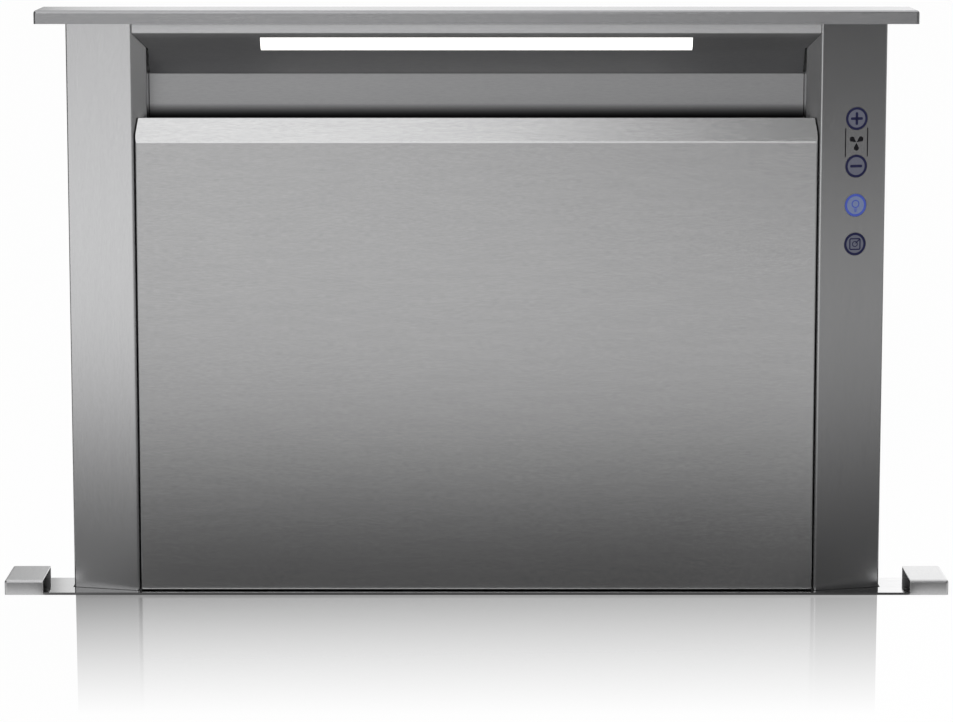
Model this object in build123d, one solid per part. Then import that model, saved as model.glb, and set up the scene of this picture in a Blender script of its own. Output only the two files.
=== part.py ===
from build123d import *
from math import acos, ceil, cos, pi, radians, sin, tan
import os

# A downdraft vent that rises out of a worktop behind a hob. The mast is drawn raised.
# Origin: centre of the trim plate's underside, so z = 0 is the worktop's surface.
# +X is the user's right, +Y is the back, +Z is up. All sizes are in millimetres.

# Worktop trim
trim_width = 762.0
trim_depth = 57.0
trim_thickness = 2.0
end_cap_width = 31.0
cap_drop = 0.8             # the lowered lid stands this far above the end caps
lid_side_gap = 0.75        # lowered lid to each end cap
sheet = 1.2                # stainless sheet of every visible cover
bend_radius = 1.5          # outside radius of a folded edge
cover_bend = 2.4           # softer bend of the lid and the end caps
seat_relief = 0.5          # the trim plate is let down this far over the chassis

# Mast, as seen from above and from the front
travel = 457.2             # 18 inches of rise
park_gap = 0.3             # lowered lid to trim plate
lid_height = 10.8
lid_overhang = 22.65       # lid's end to a pillar
mast_inset = 7.6           # front of the trim to the front panel
mast_back_inset = 6.8      # back of the trim to the mast's back
mast_tail = 155.0          # what stays below the worktop when raised
pillar_width = 52.9
pillar_sweep = 14.1        # a pillar's front face runs back this far
pillar_splay = 11.5        # 45 degree return beside the panel
pillar_flange = 10.0
slot_clearance = 1.2
seal_clearance = 0.3
seal_height = 3.0

# Front panel
panel_side_gap = 1.7       # suction gap beside the panel
panel_depth = 8.0
panel_lift = 2.8           # its bottom edge above the worktop
intake_height = 75.0       # opening between the panel's top and the lid
bevel_height = 19.2
bevel_depth = 3.4
panel_edge_radius = 0.8
panel_open_angle = 25.0
hinge_up = 3.4             # hinge axis above the panel's bottom edge
hinge_pin_radius = 1.5
hinge_play = 0.08
hinge_inset = 37.7         # pillar's inner edge to a hinge ear
hinge_block_play = 0.4     # hinge block to the swinging panel
magnet_radius = 5.0
magnet_depth = 3.0

# Head: lip, sloped ceiling with the lamp, back wall of the intake
lip_inset = 0.5
lip_height = 7.7
ceiling_back = 29.9        # how far the ceiling runs back
ceiling_drop = 33.8
wall_drop = 42.0
ledge_depth = 15.0
head_end_gap = 0.4         # head liner to the pillars
ceiling_end_gap = 1.4      # the ceiling is notched this far in from the pillars
lamp_length = 342.0
lamp_width = 13.4
lamp_offset = 5.2          # lip to lamp, along the ceiling
lamp_chips = 12
lens_thickness = 2.6
lens_rim = 3.0
lens_play = 0.3

# Grease filters
filter_depth = 9.0
filter_front = 14.9        # panel's face to the filters' face
filter_gap = 1.6
filter_frame_width = 12.0
filter_groove = 4.0        # the mesh reaches this far into the frame
filter_shelf_z = 24.0
filter_head_play = 1.0
pull_width = 36.0
pull_reach = 3.6
pull_wire = 1.5            # radius of the bent wire

# Push buttons on the right pillar
button_inset = 28.8        # pillar's inner edge to the buttons
button_radius = 9.0
button_hole_play = 0.3
button_shoulder = 1.2
button_stem = 3.2
button_stem_radius = 2.5
button_travel = 0.8
button_drops = {"plus": 75.8, "minus": 113.7, "light": 145.0, "timer": 176.2}   # below the lid
board_setback = 9.0
board_width = 20.0

# Chassis below the worktop
trim_ledge = 20.0          # the trim plate's end beyond the chassis
trim_rim = 2.5             # the trim plate's front and back beyond the chassis
foot_room = 27.8           # under the lowered mast
chassis_flange = 14.0
bead_width = 20.0
bead_depth = 1.8
bead_inset = 123.0         # chassis side to a pressed bead
screw_radius = 3.2
screw_head = 2.0
side_screws = 5

# Rack and pinion lift
gear_module = 2.0
pinion_teeth = 18
pressure_angle = radians(20)
backlash = 0.24
tip_clearance = 0.5
pinion_width = 12.0
rack_width = 14.0
rack_gap = 4.4             # pillar to rack
rack_stock = 7.3           # pitch line to the chassis' back wall
shaft_radius = 5.0
shaft_rise = 60.0          # above the mast's foot
shaft_play = 0.05
shaft_end_gap = 1.8        # shaft end to guide rail
bush_radius = 7.5
bush_flange = 3.5
rail_width = 16.0
rail_depth = 12.0
rail_wall = 1.5
rail_setback = 14.0        # chassis' front wall to the rails' middle
shoe_play = 0.3
shoe_length = 26.0
shoe_drop = 30.0           # worktop to the upper shoes
shoe_rise = 15.0           # mast's foot to the lower shoes
gearbox_size = (44.0, 32.0, 36.0)
gearbox_inset = 82.0       # centre of the mast to the gearbox
gearbox_corner = 4.0
gearbox_foot = 3.0
motor_radius = 15.5
motor_length = 64.0
foot_wall = 2.0

# Blower
wheel_radius = 92.0
wheel_gap = 1.8            # wheel's rim to the inlet ring
wheel_rise = 215.0         # chassis floor to the wheel's axis
wheel_ring = 4.0
wheel_hub = 16.0
wheel_setback = 9.0        # casing's front to the wheel's disc
blade_count = 32
blade_depth = 15.0
blade_bulge = 4.4
inlet_radius = 78.0
inlet_depth = 10.0
inlet_flange = 16.0
opening_margin = 8.0       # openings beyond the inlet ring's throat
volute_step = 14.0         # each quarter turn of the scroll is this much tighter
volute_radius = 146.0
volute_depth = 118.0
cover_rim = 8.0            # screwed rim round the scroll
outlet_drop = 172.0        # wheel centre to the scroll's outlet
adapter_height = 42.0
collar_radius = 75.0       # outside of the duct collar
collar_length = 58.0
collar_gap = 4.0           # duct collar to the chassis' front
damper_drop = 92.0         # wheel centre to the damper's spindle
damper_inset = 6.0         # outlet's outer wall to the spindle
damper_play = 2.0
damper_rod = 3.0           # radius of the spindle
fan_motor_radius = 54.0
fan_motor_depth = 44.0
fan_motor_flange = 8.0
fan_motor_boss = 14.0
fan_motor_slots = 10
fan_motor_screws = 4
spindle_length = 56.0
spindle_reach = 34.0       # from the casing's front into the wheel's hub

# Electrics and fixings
control_box_size = (140.0, 180.0, 40.0)      # width, height, depth
control_box_drop = 250.0
connection_box_size = (100.0, 80.0, 44.0)
connection_box_drop = 180.0
box_inset = 96.0           # chassis side to a box's middle
cable_hole_radius = 9.5
bushing_wall = 1.6
bushing_flange = 4.5
worktop_thickness = 38.0
clamp_reach = 34.0
clamp_height = 40.0
clamp_width = 32.0
clamp_screw_inset = 22.0   # chassis side to a jack screw
clamp_screw_radius = 3.0
clamp_screw_length = 26.0
clamp_pad_radius = 7.0
clamp_pad = 3.0
leg_reach = 62.0           # legs below the chassis floor
leg_height = 90.0          # legs beside the chassis
leg_foot = 42.0
leg_width = 40.0
leg_sheet = 2.0
leg_slot = 46.0
leg_slot_rise = 50.0       # chassis floor to the slot's middle
leg_bolt_radius = 2.9
leg_bolt_head = 3.5
leg_bolt_pitch = 24.0
leg_hole_inset = 24.0      # chassis side to the holes in a foot
leg_hole_radius = 2.75
leg_hole_half = 14.0

# Places worked out from the sizes above
front_y = -trim_depth / 2
mast_front_y = front_y + mast_inset
mast_back_y = -front_y - mast_back_inset
mast_foot_z = -mast_tail
lid_half = trim_width / 2 - end_cap_width - lid_side_gap
lid_bottom_z = trim_thickness + park_gap + travel
lid_top_z = lid_bottom_z + lid_height
pillar_outer_half = lid_half - lid_overhang
pillar_inner_half = pillar_outer_half - pillar_width
pillar_wall_half = pillar_inner_half - pillar_splay
splay_back_y = mast_front_y + pillar_splay
panel_half = pillar_inner_half - panel_side_gap
panel_back_y = mast_front_y + panel_depth
panel_top_z = lid_bottom_z - intake_height
hinge_back = panel_depth / 2
hinge_half = pillar_inner_half - hinge_inset
button_x = pillar_inner_half + button_inset
button_heights = {name: lid_bottom_z - drop for name, drop in button_drops.items()}
chassis_half = trim_width / 2 - trim_ledge
chassis_back_y = trim_depth / 2 - trim_rim
chassis_front_y = -chassis_back_y
chassis_height = mast_tail + travel + foot_room
bead_offset = chassis_half - bead_inset
pitch_radius = gear_module * pinion_teeth / 2
tooth_pitch = pi * gear_module
shaft_y = chassis_back_y - sheet - rack_stock - pitch_radius
shaft_z = mast_foot_z + shaft_rise
rail_x = chassis_half - sheet - rail_depth
rail_y = chassis_front_y + rail_setback
shaft_half = rail_x - shaft_end_gap
rack_start = pillar_outer_half + rack_gap
pinion_start = rack_start + (rack_width - pinion_width) / 2
shoe_heights = (-shoe_drop, mast_foot_z + shoe_rise)
wheel_z = wheel_rise - chassis_height
outlet_z = wheel_z - outlet_drop
scroll_back_y = chassis_front_y
scroll_front_y = scroll_back_y - volute_depth
wheel_width = volute_depth - wheel_setback - sheet - inlet_depth - wheel_gap


def block(x, y, z):
    """A box between two x, two y and two z values."""
    size = [high - low for low, high in (x, y, z)]
    centre = [(low + high) / 2 for low, high in (x, y, z)]
    return Pos(*centre) * Box(*size)


def folded(points, thickness, side=Side.LEFT):
    """Section of a sheet bent along the points, with its outer skin on them."""
    skin = FilletPolyline(*points, radius=bend_radius)
    return make_face(offset(skin, amount=thickness, side=side, closed=True))


def upright(face, low, high):
    """A plan section, drawn in X and Y, carried from one height to another."""
    return Pos(0, 0, low) * extrude(face, high - low)


def lengthwise(face, half):
    """A side section, drawn in Y and Z, carried to both sides of the centre."""
    return extrude(Plane.YZ * face, half, both=True)


def rod(radius, start, end, y, z):
    """A round bar along X."""
    return Pos((start + end) / 2, y, z) * Rot(0, 90, 0) * Cylinder(radius, abs(end - start))


def both_sides(shape):
    """A right-hand piece and its mirror image."""
    return [mirror(shape, Plane.YZ), shape]


# ---- worktop trim ----

def mast_outline(growth):
    """The mast seen from above, grown by a clearance."""
    swept_y = mast_front_y + pillar_sweep
    outline = Polyline(
        (-pillar_inner_half, mast_front_y),
        (pillar_inner_half, mast_front_y),
        (pillar_outer_half, swept_y),
        (pillar_outer_half, mast_back_y),
        (-pillar_outer_half, mast_back_y),
        (-pillar_outer_half, swept_y),
        close=True,
    )
    return offset(make_face(outline), amount=growth, kind=Kind.INTERSECTION)


def trim_plate():
    """Plate over the cut-out, slotted for the mast, relieved below for the chassis' edge."""
    middle = Rectangle(trim_width - 2 * end_cap_width, trim_depth)
    tongues = Rectangle(trim_width - 2 * sheet, trim_depth - 2 * sheet)
    plate = upright(middle + tongues - mast_outline(slot_clearance), 0, trim_thickness)
    relief = Rectangle(2 * (chassis_half + seal_clearance), 2 * (chassis_back_y + seal_clearance))
    return plate - upright(relief, -1, seat_relief)


def slot_seal():
    """Rubber edging in the slot, just clear of the mast."""
    ring = mast_outline(slot_clearance) - mast_outline(seal_clearance)
    return upright(ring, -seal_height, trim_thickness - seal_clearance)


def end_cap():
    """Folded end cap beside the lowered lid, open towards it."""
    inner_x = trim_width / 2 - end_cap_width
    outer_x = trim_width / 2
    top_z = trim_thickness + park_gap + lid_height - cap_drop
    skin = block((inner_x, outer_x), (front_y, -front_y), (0, top_z))
    edges = skin.edges().filter_by(Axis.X).group_by(Axis.Z)[-1]
    edges += skin.edges().filter_by(Axis.Z).group_by(Axis.X)[-1]
    edges += skin.edges().filter_by(Axis.Y).group_by(Axis.Z)[-1].sort_by(Axis.X)[-1:]
    skin = fillet(edges, cover_bend)
    inside_y = -front_y - sheet
    hollow = block((inner_x - 1, outer_x - sheet), (-inside_y, inside_y), (-1, top_z - sheet))
    return skin - hollow


# ---- mast ----

def lid():
    """Shallow folded tray that covers the slot when the mast is down."""
    skin = block((-lid_half, lid_half), (front_y, -front_y), (lid_bottom_z, lid_top_z))
    skin = fillet(skin.edges().group_by(Axis.Z)[-1] + skin.edges().filter_by(Axis.Z), cover_bend)
    inside_x = lid_half - sheet
    inside_y = -front_y - sheet
    hollow = block((-inside_x, inside_x), (-inside_y, inside_y), (lid_bottom_z - 1, lid_top_z - sheet))
    return skin - hollow


def lid_base():
    """Channel that closes the lid from below and carries it on the pillars."""
    half = lid_half - sheet
    edge_y = -front_y - sheet
    rim_z = lid_bottom_z + lid_height - 2 * sheet
    path = [(-edge_y, rim_z), (-edge_y, lid_bottom_z), (edge_y, lid_bottom_z), (edge_y, rim_z)]
    return lengthwise(folded(path, sheet), half)


def pillar():
    """Right-hand pillar: a folded channel, open at the back, with a swept front face."""
    rear_y = mast_back_y - sheet
    path = [
        (pillar_wall_half + pillar_flange, rear_y),
        (pillar_wall_half, rear_y),
        (pillar_wall_half, splay_back_y),
        (pillar_inner_half, mast_front_y),
        (pillar_outer_half, mast_front_y + pillar_sweep),
        (pillar_outer_half, rear_y),
        (pillar_outer_half - pillar_flange, rear_y),
    ]
    channel = upright(folded(path, sheet), mast_foot_z, lid_bottom_z)
    bush_hole = rod(bush_radius, pillar_inner_half, pillar_outer_half + 1, shaft_y, shaft_z)
    return channel - bush_hole - shaft_passage()


def shaft_passage():
    """Clearance hole for the cross shaft where it has no bearing."""
    return rod(2 * shaft_radius, pillar_wall_half - 2 * sheet, pillar_inner_half, shaft_y, shaft_z)


def pillar_face(height, depth=0.0):
    """Plane on the right pillar's swept face at a button, looking outwards."""
    run = pillar_outer_half - pillar_inner_half
    along = Vector(run, pillar_sweep, 0).normalized()
    outwards = Vector(along.Y, -along.X, 0)
    y = mast_front_y + pillar_sweep * (button_x - pillar_inner_half) / run
    return Plane(Vector(button_x, y, height) - outwards * depth, x_dir=along, z_dir=outwards)


def right_pillar():
    """The right pillar has a round hole for each push button."""
    channel = pillar()
    for height in button_heights.values():
        hole = Cylinder(button_radius + button_hole_play, 4 * sheet)
        channel -= pillar_face(height) * hole
    return channel


def mast_back():
    """Rear sheet of the mast, stiffened by two pressed beads."""
    path = [(-pillar_outer_half, mast_back_y)]
    for centre in (-pillar_inner_half / 2, pillar_inner_half / 2):
        path += bead(centre, mast_back_y, -bead_depth)
    path += [(pillar_outer_half, mast_back_y)]
    return upright(folded(path, sheet, Side.RIGHT), mast_foot_z, lid_bottom_z)


def bead(centre, y, depth):
    """The four bends of a pressed stiffening bead, seen from above."""
    half = bead_width / 2
    ramp = 2 * abs(depth)
    return [
        (centre - half, y),
        (centre - half + ramp, y + depth),
        (centre + half - ramp, y + depth),
        (centre + half, y),
    ]


def lower_apron():
    """Front sheet below the panel, which keeps the slot closed while the mast is up."""
    face_y = mast_front_y + lip_inset
    half = panel_half - lip_inset
    corner_y = face_y + half - pillar_wall_half
    right = [(half, face_y), (pillar_wall_half, corner_y), (pillar_wall_half, corner_y + pillar_flange)]
    path = [(-x, y) for x, y in reversed(right)] + right
    top_z = apron_top_z()
    apron = upright(folded(path, sheet), mast_foot_z, top_z)
    for passage in both_sides(shaft_passage()):
        apron -= passage
    _, filter_back, _, _ = filter_bay()
    inner = pillar_wall_half - sheet
    flange = block((-inner, inner), (face_y + sheet / 2, filter_back + 3 * sheet), (top_z - sheet, top_z))
    return apron + flange


def apron_top_z():
    """Top of the apron, just below the swing of the panel's lower front corner."""
    swing_radius = (hinge_back**2 + hinge_up**2) ** 0.5
    return panel_lift + hinge_up - swing_radius - seal_clearance


def panel_skin(inset):
    """Tray of the front panel: splayed sides and a bevelled top, drawn in by an inset."""
    face_y = mast_front_y + inset
    half = panel_half - inset * tan(pi / 8)
    plan = Polyline(
        (-half, face_y),
        (half, face_y),
        (half - panel_depth + inset, panel_back_y),
        (-half + panel_depth - inset, panel_back_y),
        close=True,
    )
    low = panel_lift + inset
    high = panel_top_z - inset
    side = Polyline(
        (face_y, low),
        (face_y, high - bevel_height),
        (face_y + bevel_depth, high),
        (panel_back_y, high),
        (panel_back_y, low),
        close=True,
    )
    return upright(make_face(plan), low, high) & lengthwise(make_face(side), panel_half)


def front_panel():
    """Perimeter-suction panel: a folded tray with two hinge ears welded inside."""
    skin = panel_skin(0)
    face_edges = skin.faces().sort_by(Axis.Y)[0].edges()
    skin = fillet(face_edges, panel_edge_radius)
    tray = skin - panel_skin(sheet)
    rear_y = panel_back_y - sheet
    axis_y, axis_z = hinge_axis()
    ear = block((hinge_half, hinge_half + sheet), (mast_front_y + sheet, rear_y),
                (panel_lift + sheet, axis_z + 2 * hinge_up))
    ear -= rod(hinge_pin_radius + hinge_play, hinge_half - 1, hinge_half + 2 * sheet, axis_y, axis_z)
    slot = block((hinge_half + sheet, panel_half - panel_depth - sheet),
                 (mast_front_y + sheet, panel_back_y + 1), (panel_lift - 1, panel_lift + 2 * sheet))
    for part in both_sides(slot):
        tray -= part
    return tray + both_sides(ear)


def hinge_axis():
    """Where the panel's hinge axis lies, in Y and Z."""
    return mast_front_y + hinge_back, panel_lift + hinge_up


def panel_liner():
    """Flat pan that closes the back of the panel and stiffens it."""
    half = panel_half - panel_depth - 2 * sheet
    high = panel_top_z - 2 * sheet
    low = panel_lift + 4 * hinge_up
    return block((-half, half), (panel_back_y - sheet, panel_back_y), (low, high))


def hinge_blocks():
    """Moulded blocks on the apron that hold the hinge pins, cut back for the panel's swing."""
    axis_y, axis_z = hinge_axis()
    start = hinge_half + sheet + lens_play
    end = panel_half - panel_depth - 2 * sheet
    reach = hinge_back - sheet - hinge_block_play
    shape = block((start, end), (axis_y - reach, panel_back_y - sheet), (apron_top_z(), axis_z + hinge_up))
    swing = block((start - 1, end + 1), (-reach - panel_depth, -reach), (-panel_depth, panel_depth))
    shape -= Pos(0, axis_y, axis_z) * Rot(panel_open_angle, 0, 0) * swing
    shape -= rod(hinge_pin_radius, start - 1, end + 1, axis_y, axis_z)
    return both_sides(shape)


def hinge_pins():
    """The pins reach from the blocks through the panel's ears."""
    end = panel_half - panel_depth - 2 * sheet
    pin = rod(hinge_pin_radius, hinge_half - 3 * sheet, end, *hinge_axis())
    return both_sides(pin)


def head_liner():
    """One folded sheet: front lip, sloped ceiling, back wall and the ledge over the filters."""
    face_y = mast_front_y + lip_inset
    lip_z = lid_bottom_z - lip_height
    wall_y = face_y + ceiling_back
    wall_z = lip_z - ceiling_drop
    ledge_z = wall_z - wall_drop
    path = [
        (face_y, lid_bottom_z),
        (face_y, lip_z),
        (wall_y, wall_z),
        (wall_y, ledge_z),
        (wall_y - ledge_depth, ledge_z),
    ]
    liner = lengthwise(folded(path, sheet), pillar_inner_half)
    half = pillar_inner_half - head_end_gap * 2**0.5
    wall = pillar_wall_half - head_end_gap
    corner_y = mast_front_y + half - wall
    between = Polyline(
        (-half, mast_front_y),
        (half, mast_front_y),
        (wall, corner_y),
        (wall, mast_back_y),
        (-wall, mast_back_y),
        (-wall, corner_y),
        close=True,
    )
    liner &= upright(make_face(between), ledge_z - 2 * sheet, lid_bottom_z)
    notch_end = wall + 1
    notch = block((pillar_wall_half - ceiling_end_gap, notch_end), (corner_y, mast_back_y), (wall_z + sheet, lip_z))
    for part in both_sides(notch):
        liner -= part
    window = Box(lamp_length + 2 * lens_play, lamp_width + 2 * lens_play, 4 * sheet)
    return liner - lamp_plane() * window


def lamp_plane(depth=0.0):
    """Plane on the ceiling at the middle of the lamp; depth goes up into the head."""
    down = Vector(0, ceiling_back, -ceiling_drop).normalized()
    outwards = Vector(0, down.Z, -down.Y)
    lip = Vector(0, mast_front_y + lip_inset, lid_bottom_z - lip_height)
    middle = lip + down * (lamp_offset + lamp_width / 2)
    return Plane(middle - outwards * depth, x_dir=Vector(1, 0, 0), z_dir=outwards)


def lamp_lens():
    """Frosted strip that fills the window, with a rim behind the sheet."""
    strip = Pos(0, 0, -sheet / 2) * Box(lamp_length, lamp_width, sheet)
    rim_depth = lens_thickness - sheet
    rim = Pos(0, 0, -sheet - rim_depth / 2) * Box(
        lamp_length + 2 * lens_rim, lamp_width + 2 * lens_rim, rim_depth)
    return lamp_plane() * (strip + rim)


def lamp_housing():
    """Channel behind the lens that holds the lamp board."""
    half = lamp_width / 2 + lens_rim
    depth = 3 * lens_thickness
    path = [(-half, 0), (-half, -depth), (half, -depth), (half, 0)]
    channel = extrude(Plane.YZ * folded(path, sheet), lamp_length / 2 + lens_rim, both=True)
    return lamp_plane(lens_thickness) * channel


def lamp_board():
    """Circuit board with a row of lamp chips, laid in the channel."""
    board = Box(lamp_length, lamp_width, sheet)
    floor = 3 * lens_thickness - 1.5 * sheet
    spacing = lamp_length / lamp_chips
    middle = (lamp_chips - 1) / 2
    chip = Box(4 * sheet, 4 * sheet, sheet)
    chips = [Pos((i - middle) * spacing, 0, sheet) * chip for i in range(lamp_chips)]
    return lamp_plane(lens_thickness + floor) * (board + chips)


def filter_bay():
    """Front, back, bottom and top of the space that the grease filters fill."""
    front = mast_front_y + filter_front
    ledge_z = lid_bottom_z - lip_height - ceiling_drop - wall_drop
    return front, front + filter_depth, filter_shelf_z, ledge_z - sheet - filter_head_play


def filter_centres():
    """Middle of each filter and half its width."""
    half = (pillar_wall_half - 1.5 * filter_gap) / 2
    return [-half - filter_gap / 2, half + filter_gap / 2], half


def filter_frames():
    """Aluminium frames of the two grease filters."""
    front, back, low, high = filter_bay()
    centres, half = filter_centres()
    frames = []
    for x in centres:
        outer = block((x - half, x + half), (front, back), (low, high))
        inner = half - filter_frame_width
        window = block((x - inner, x + inner), (front - 1, back + 1),
                       (low + filter_frame_width, high - filter_frame_width))
        groove = block((x - inner - filter_groove, x + inner + filter_groove), (front + sheet, back - sheet),
                       (low + filter_frame_width - filter_groove, high - filter_frame_width + filter_groove))
        frames.append(outer - window - groove)
    return frames


def filter_meshes():
    """Front and rear mesh sheets held in the frames' grooves."""
    front, back, low, high = filter_bay()
    centres, half = filter_centres()
    reach = half - filter_frame_width + filter_groove
    edge = filter_frame_width - filter_groove
    meshes = []
    for x in centres:
        for y in (front + sheet, back - 2 * sheet):
            meshes.append(block((x - reach, x + reach), (y, y + sheet), (low + edge, high - edge)))
    return meshes


def filter_pulls():
    """Bent wire pulls for lifting the filters out."""
    front, _, low, _ = filter_bay()
    centres, _ = filter_centres()
    reach = pull_reach
    half = pull_width / 2
    z = low + filter_frame_width / 2
    pulls = []
    for x in centres:
        path = FilletPolyline(
            (x - half, front, z), (x - half, front - reach, z),
            (x + half, front - reach, z), (x + half, front, z), radius=pull_wire + 0.5)
        section = Plane(path @ 0, z_dir=path % 0) * RegularPolygon(pull_wire, 8)
        pulls.append(sweep(section, path))
    return pulls


def filter_shelf():
    """Folded rail across the mast: a front lip, the filters' floor and a web down to the apron."""
    front, back, low, _ = filter_bay()
    lip_y = front - 2 * sheet
    path = [
        (lip_y, low + 2 * bend_radius),
        (lip_y, low - sheet),
        (back + 2 * sheet, low - sheet),
        (back + 2 * sheet, apron_top_z()),
    ]
    return lengthwise(folded(path, sheet), pillar_wall_half)


def catch_plates():
    """Steel keepers on the pillars that the panel's magnets hold to."""
    low = panel_top_z - 3 * bead_width
    path = [
        (pillar_wall_half - bead_width, panel_back_y + seal_clearance),
        (pillar_wall_half, panel_back_y + seal_clearance),
        (pillar_wall_half, panel_back_y + bead_width),
    ]
    return both_sides(upright(folded(path, sheet), low, low + bead_width))


def panel_magnets():
    """Round magnets in the panel's upper corners."""
    z = panel_top_z - 2.5 * bead_width
    x = pillar_wall_half - bead_width / 2 - sheet
    disc = Rot(90, 0, 0) * Cylinder(magnet_radius, magnet_depth)
    return both_sides(Pos(x, panel_back_y - sheet - magnet_depth / 2, z) * disc)


def push_button(height):
    """Flat round cap, flush with the pillar, with a shoulder and a stem behind it."""
    cap_depth = sheet + seal_clearance
    cap = Pos(0, 0, -cap_depth / 2) * Cylinder(button_radius, cap_depth)
    shoulder = Cylinder(button_radius + button_shoulder, button_shoulder)
    shoulder = Pos(0, 0, -cap_depth - button_shoulder / 2) * shoulder
    stem = Cylinder(button_stem_radius, button_stem)
    stem = Pos(0, 0, -cap_depth - button_shoulder - button_stem / 2) * stem
    return pillar_face(height) * (cap + shoulder + stem)


def control_board():
    """Circuit board in the right pillar with a switch behind each button."""
    heights = list(button_heights.values())
    middle = (max(heights) + min(heights)) / 2
    length = max(heights) - min(heights) + 4 * button_radius
    face = pillar_face(middle, board_setback)
    board = face * Pos(0, 0, -sheet / 2) * Box(board_width, length, sheet)
    stem_end = sheet + seal_clearance + button_shoulder + button_stem
    switch_height = board_setback - stem_end - button_travel - seal_clearance
    switch_side = 2 * button_stem_radius + sheet
    for height in heights:
        switch = Pos(0, 0, switch_height / 2) * Box(switch_side, switch_side, switch_height)
        board += pillar_face(height, board_setback) * switch
    post_length = board_setback - sheet
    post_y = length / 2 - button_stem_radius
    for end in (-post_y, post_y):
        board += face * Pos(0, end, post_length / 2) * Cylinder(button_stem_radius, post_length)
    return board


# ---- lift ----

def involute(radius):
    """Angle that an involute has turned through at a radius."""
    base = pitch_radius * cos(pressure_angle)
    roll = acos(min(1.0, base / radius))
    return tan(roll) - roll


def pinion():
    """Right-hand pinion with involute teeth, one of them pointing straight back at the rack."""
    base = pitch_radius * cos(pressure_angle)
    root = pitch_radius - gear_module - tip_clearance
    tip = pitch_radius + gear_module
    half_tooth = (tooth_pitch - backlash) / 4 / pitch_radius
    flank = [base, (base + tip) / 2, tip]
    right = [(root, half_tooth + involute(pitch_radius))]
    right += [(r, half_tooth + involute(pitch_radius) - involute(r)) for r in flank]
    points = []
    for tooth in range(pinion_teeth):
        middle = 2 * pi * tooth / pinion_teeth
        outline = [(r, middle - a) for r, a in right] + [(r, middle + a) for r, a in reversed(right)]
        points += [(r * cos(a), r * sin(a)) for r, a in outline]
    section = make_face(Polyline(*points, close=True))
    section -= Circle(shaft_radius)
    recess = Circle(root - gear_module) - Circle(shaft_radius + 2 * gear_module)
    wheel = Plane.YZ * extrude(section, pinion_width)
    wheel -= Pos(pinion_width - gear_module, 0, 0) * extrude(Plane.YZ * recess, 2 * gear_module)
    return Pos(pinion_start, shaft_y, shaft_z) * wheel


def gear_rack():
    """Right-hand rack, fixed down the chassis' back, long enough for the whole travel."""
    margin = ceil((pitch_radius + gear_module) / tooth_pitch)
    below = ceil(travel / tooth_pitch) + margin
    half_tooth = (tooth_pitch - backlash) / 4
    pitch_y = shaft_y + pitch_radius
    tip_y = pitch_y - gear_module
    root_y = pitch_y + gear_module + tip_clearance
    tip_half = half_tooth - gear_module * tan(pressure_angle)
    root_half = half_tooth + (root_y - pitch_y) * tan(pressure_angle)
    points = []
    for tooth in range(-below, margin):
        z = shaft_z + (tooth + 0.5) * tooth_pitch
        points += [(root_y, z - root_half), (tip_y, z - tip_half), (tip_y, z + tip_half), (root_y, z + root_half)]
    back_y = chassis_back_y - sheet
    top_z = shaft_z + margin * tooth_pitch
    bottom_z = shaft_z - below * tooth_pitch
    points += [(root_y, top_z), (back_y, top_z), (back_y, bottom_z), (root_y, bottom_z)]
    section = make_face(Polyline(*points, close=True))
    return Pos(rack_start, 0, 0) * extrude(Plane.YZ * section, rack_width)


def cross_shaft():
    """Shaft across the mast with a groove near each end for a retaining ring."""
    bar = rod(shaft_radius, -shaft_half, shaft_half, shaft_y, shaft_z)
    bar = chamfer(bar.edges().filter_by(GeomType.CIRCLE), 0.8)
    start = pinion_start - 1.3
    groove = rod(shaft_radius + 1, start, start + 1, shaft_y, shaft_z)
    groove -= rod(shaft_radius - 0.6, start, start + 1, shaft_y, shaft_z)
    return bar - both_sides(groove)


def shaft_bushes():
    """Flanged bushes in the pillars' outer walls."""
    inner = pillar_outer_half - 4 * sheet
    outer = pillar_outer_half + 2 * sheet
    barrel = rod(bush_radius, inner, outer, shaft_y, shaft_z)
    flange = rod(bush_radius + bush_flange, pillar_outer_half, outer, shaft_y, shaft_z)
    bore = rod(shaft_radius + shaft_play, inner - 1, outer + 1, shaft_y, shaft_z)
    return both_sides(barrel + flange - bore)


def foot_frame():
    """Box-section frame round the mast's open foot, with a bridge under the gearbox."""
    half = pillar_wall_half - sheet - seal_clearance
    front = mast_front_y + lip_inset + sheet
    back = mast_back_y - sheet - bead_depth
    length, _, height = gearbox_size
    top_z = shaft_z - height / 2
    ring = block((-half, half), (front, back), (mast_foot_z, top_z))
    ring -= block((-half + foot_wall, half - foot_wall), (front + foot_wall, back - foot_wall),
                  (mast_foot_z - 1, top_z + 1))
    bridge_half = length / 2 + bush_radius
    bridge = block((gearbox_inset - bridge_half, gearbox_inset + bridge_half), (front, back),
                   (top_z - foot_wall, top_z))
    return ring + bridge


def lift_gearbox():
    """Worm gearbox round the cross shaft, on a flanged foot."""
    length, width, height = gearbox_size
    body = Pos(gearbox_inset, shaft_y, shaft_z) * Box(length, width, height)
    body = fillet(body.edges().filter_by(Axis.X), gearbox_corner)
    foot_half = length / 2 + bush_radius
    foot_z = shaft_z - height / 2
    foot = block((gearbox_inset - foot_half, gearbox_inset + foot_half),
                 (shaft_y - width / 2 + gearbox_corner, shaft_y + width / 2 - gearbox_corner),
                 (foot_z, foot_z + gearbox_foot))
    neck = Cylinder(motor_radius - foot_wall, 2 * gearbox_foot)
    neck = Pos(gearbox_inset, shaft_y, shaft_z + height / 2) * neck
    hub_half = length / 2 + gearbox_corner
    hub = rod(2 * shaft_radius, gearbox_inset - hub_half, gearbox_inset + hub_half, shaft_y, shaft_z)
    bore = rod(shaft_radius + shaft_play, gearbox_inset - length, gearbox_inset + length, shaft_y, shaft_z)
    return body + foot + neck + hub - bore


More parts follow.
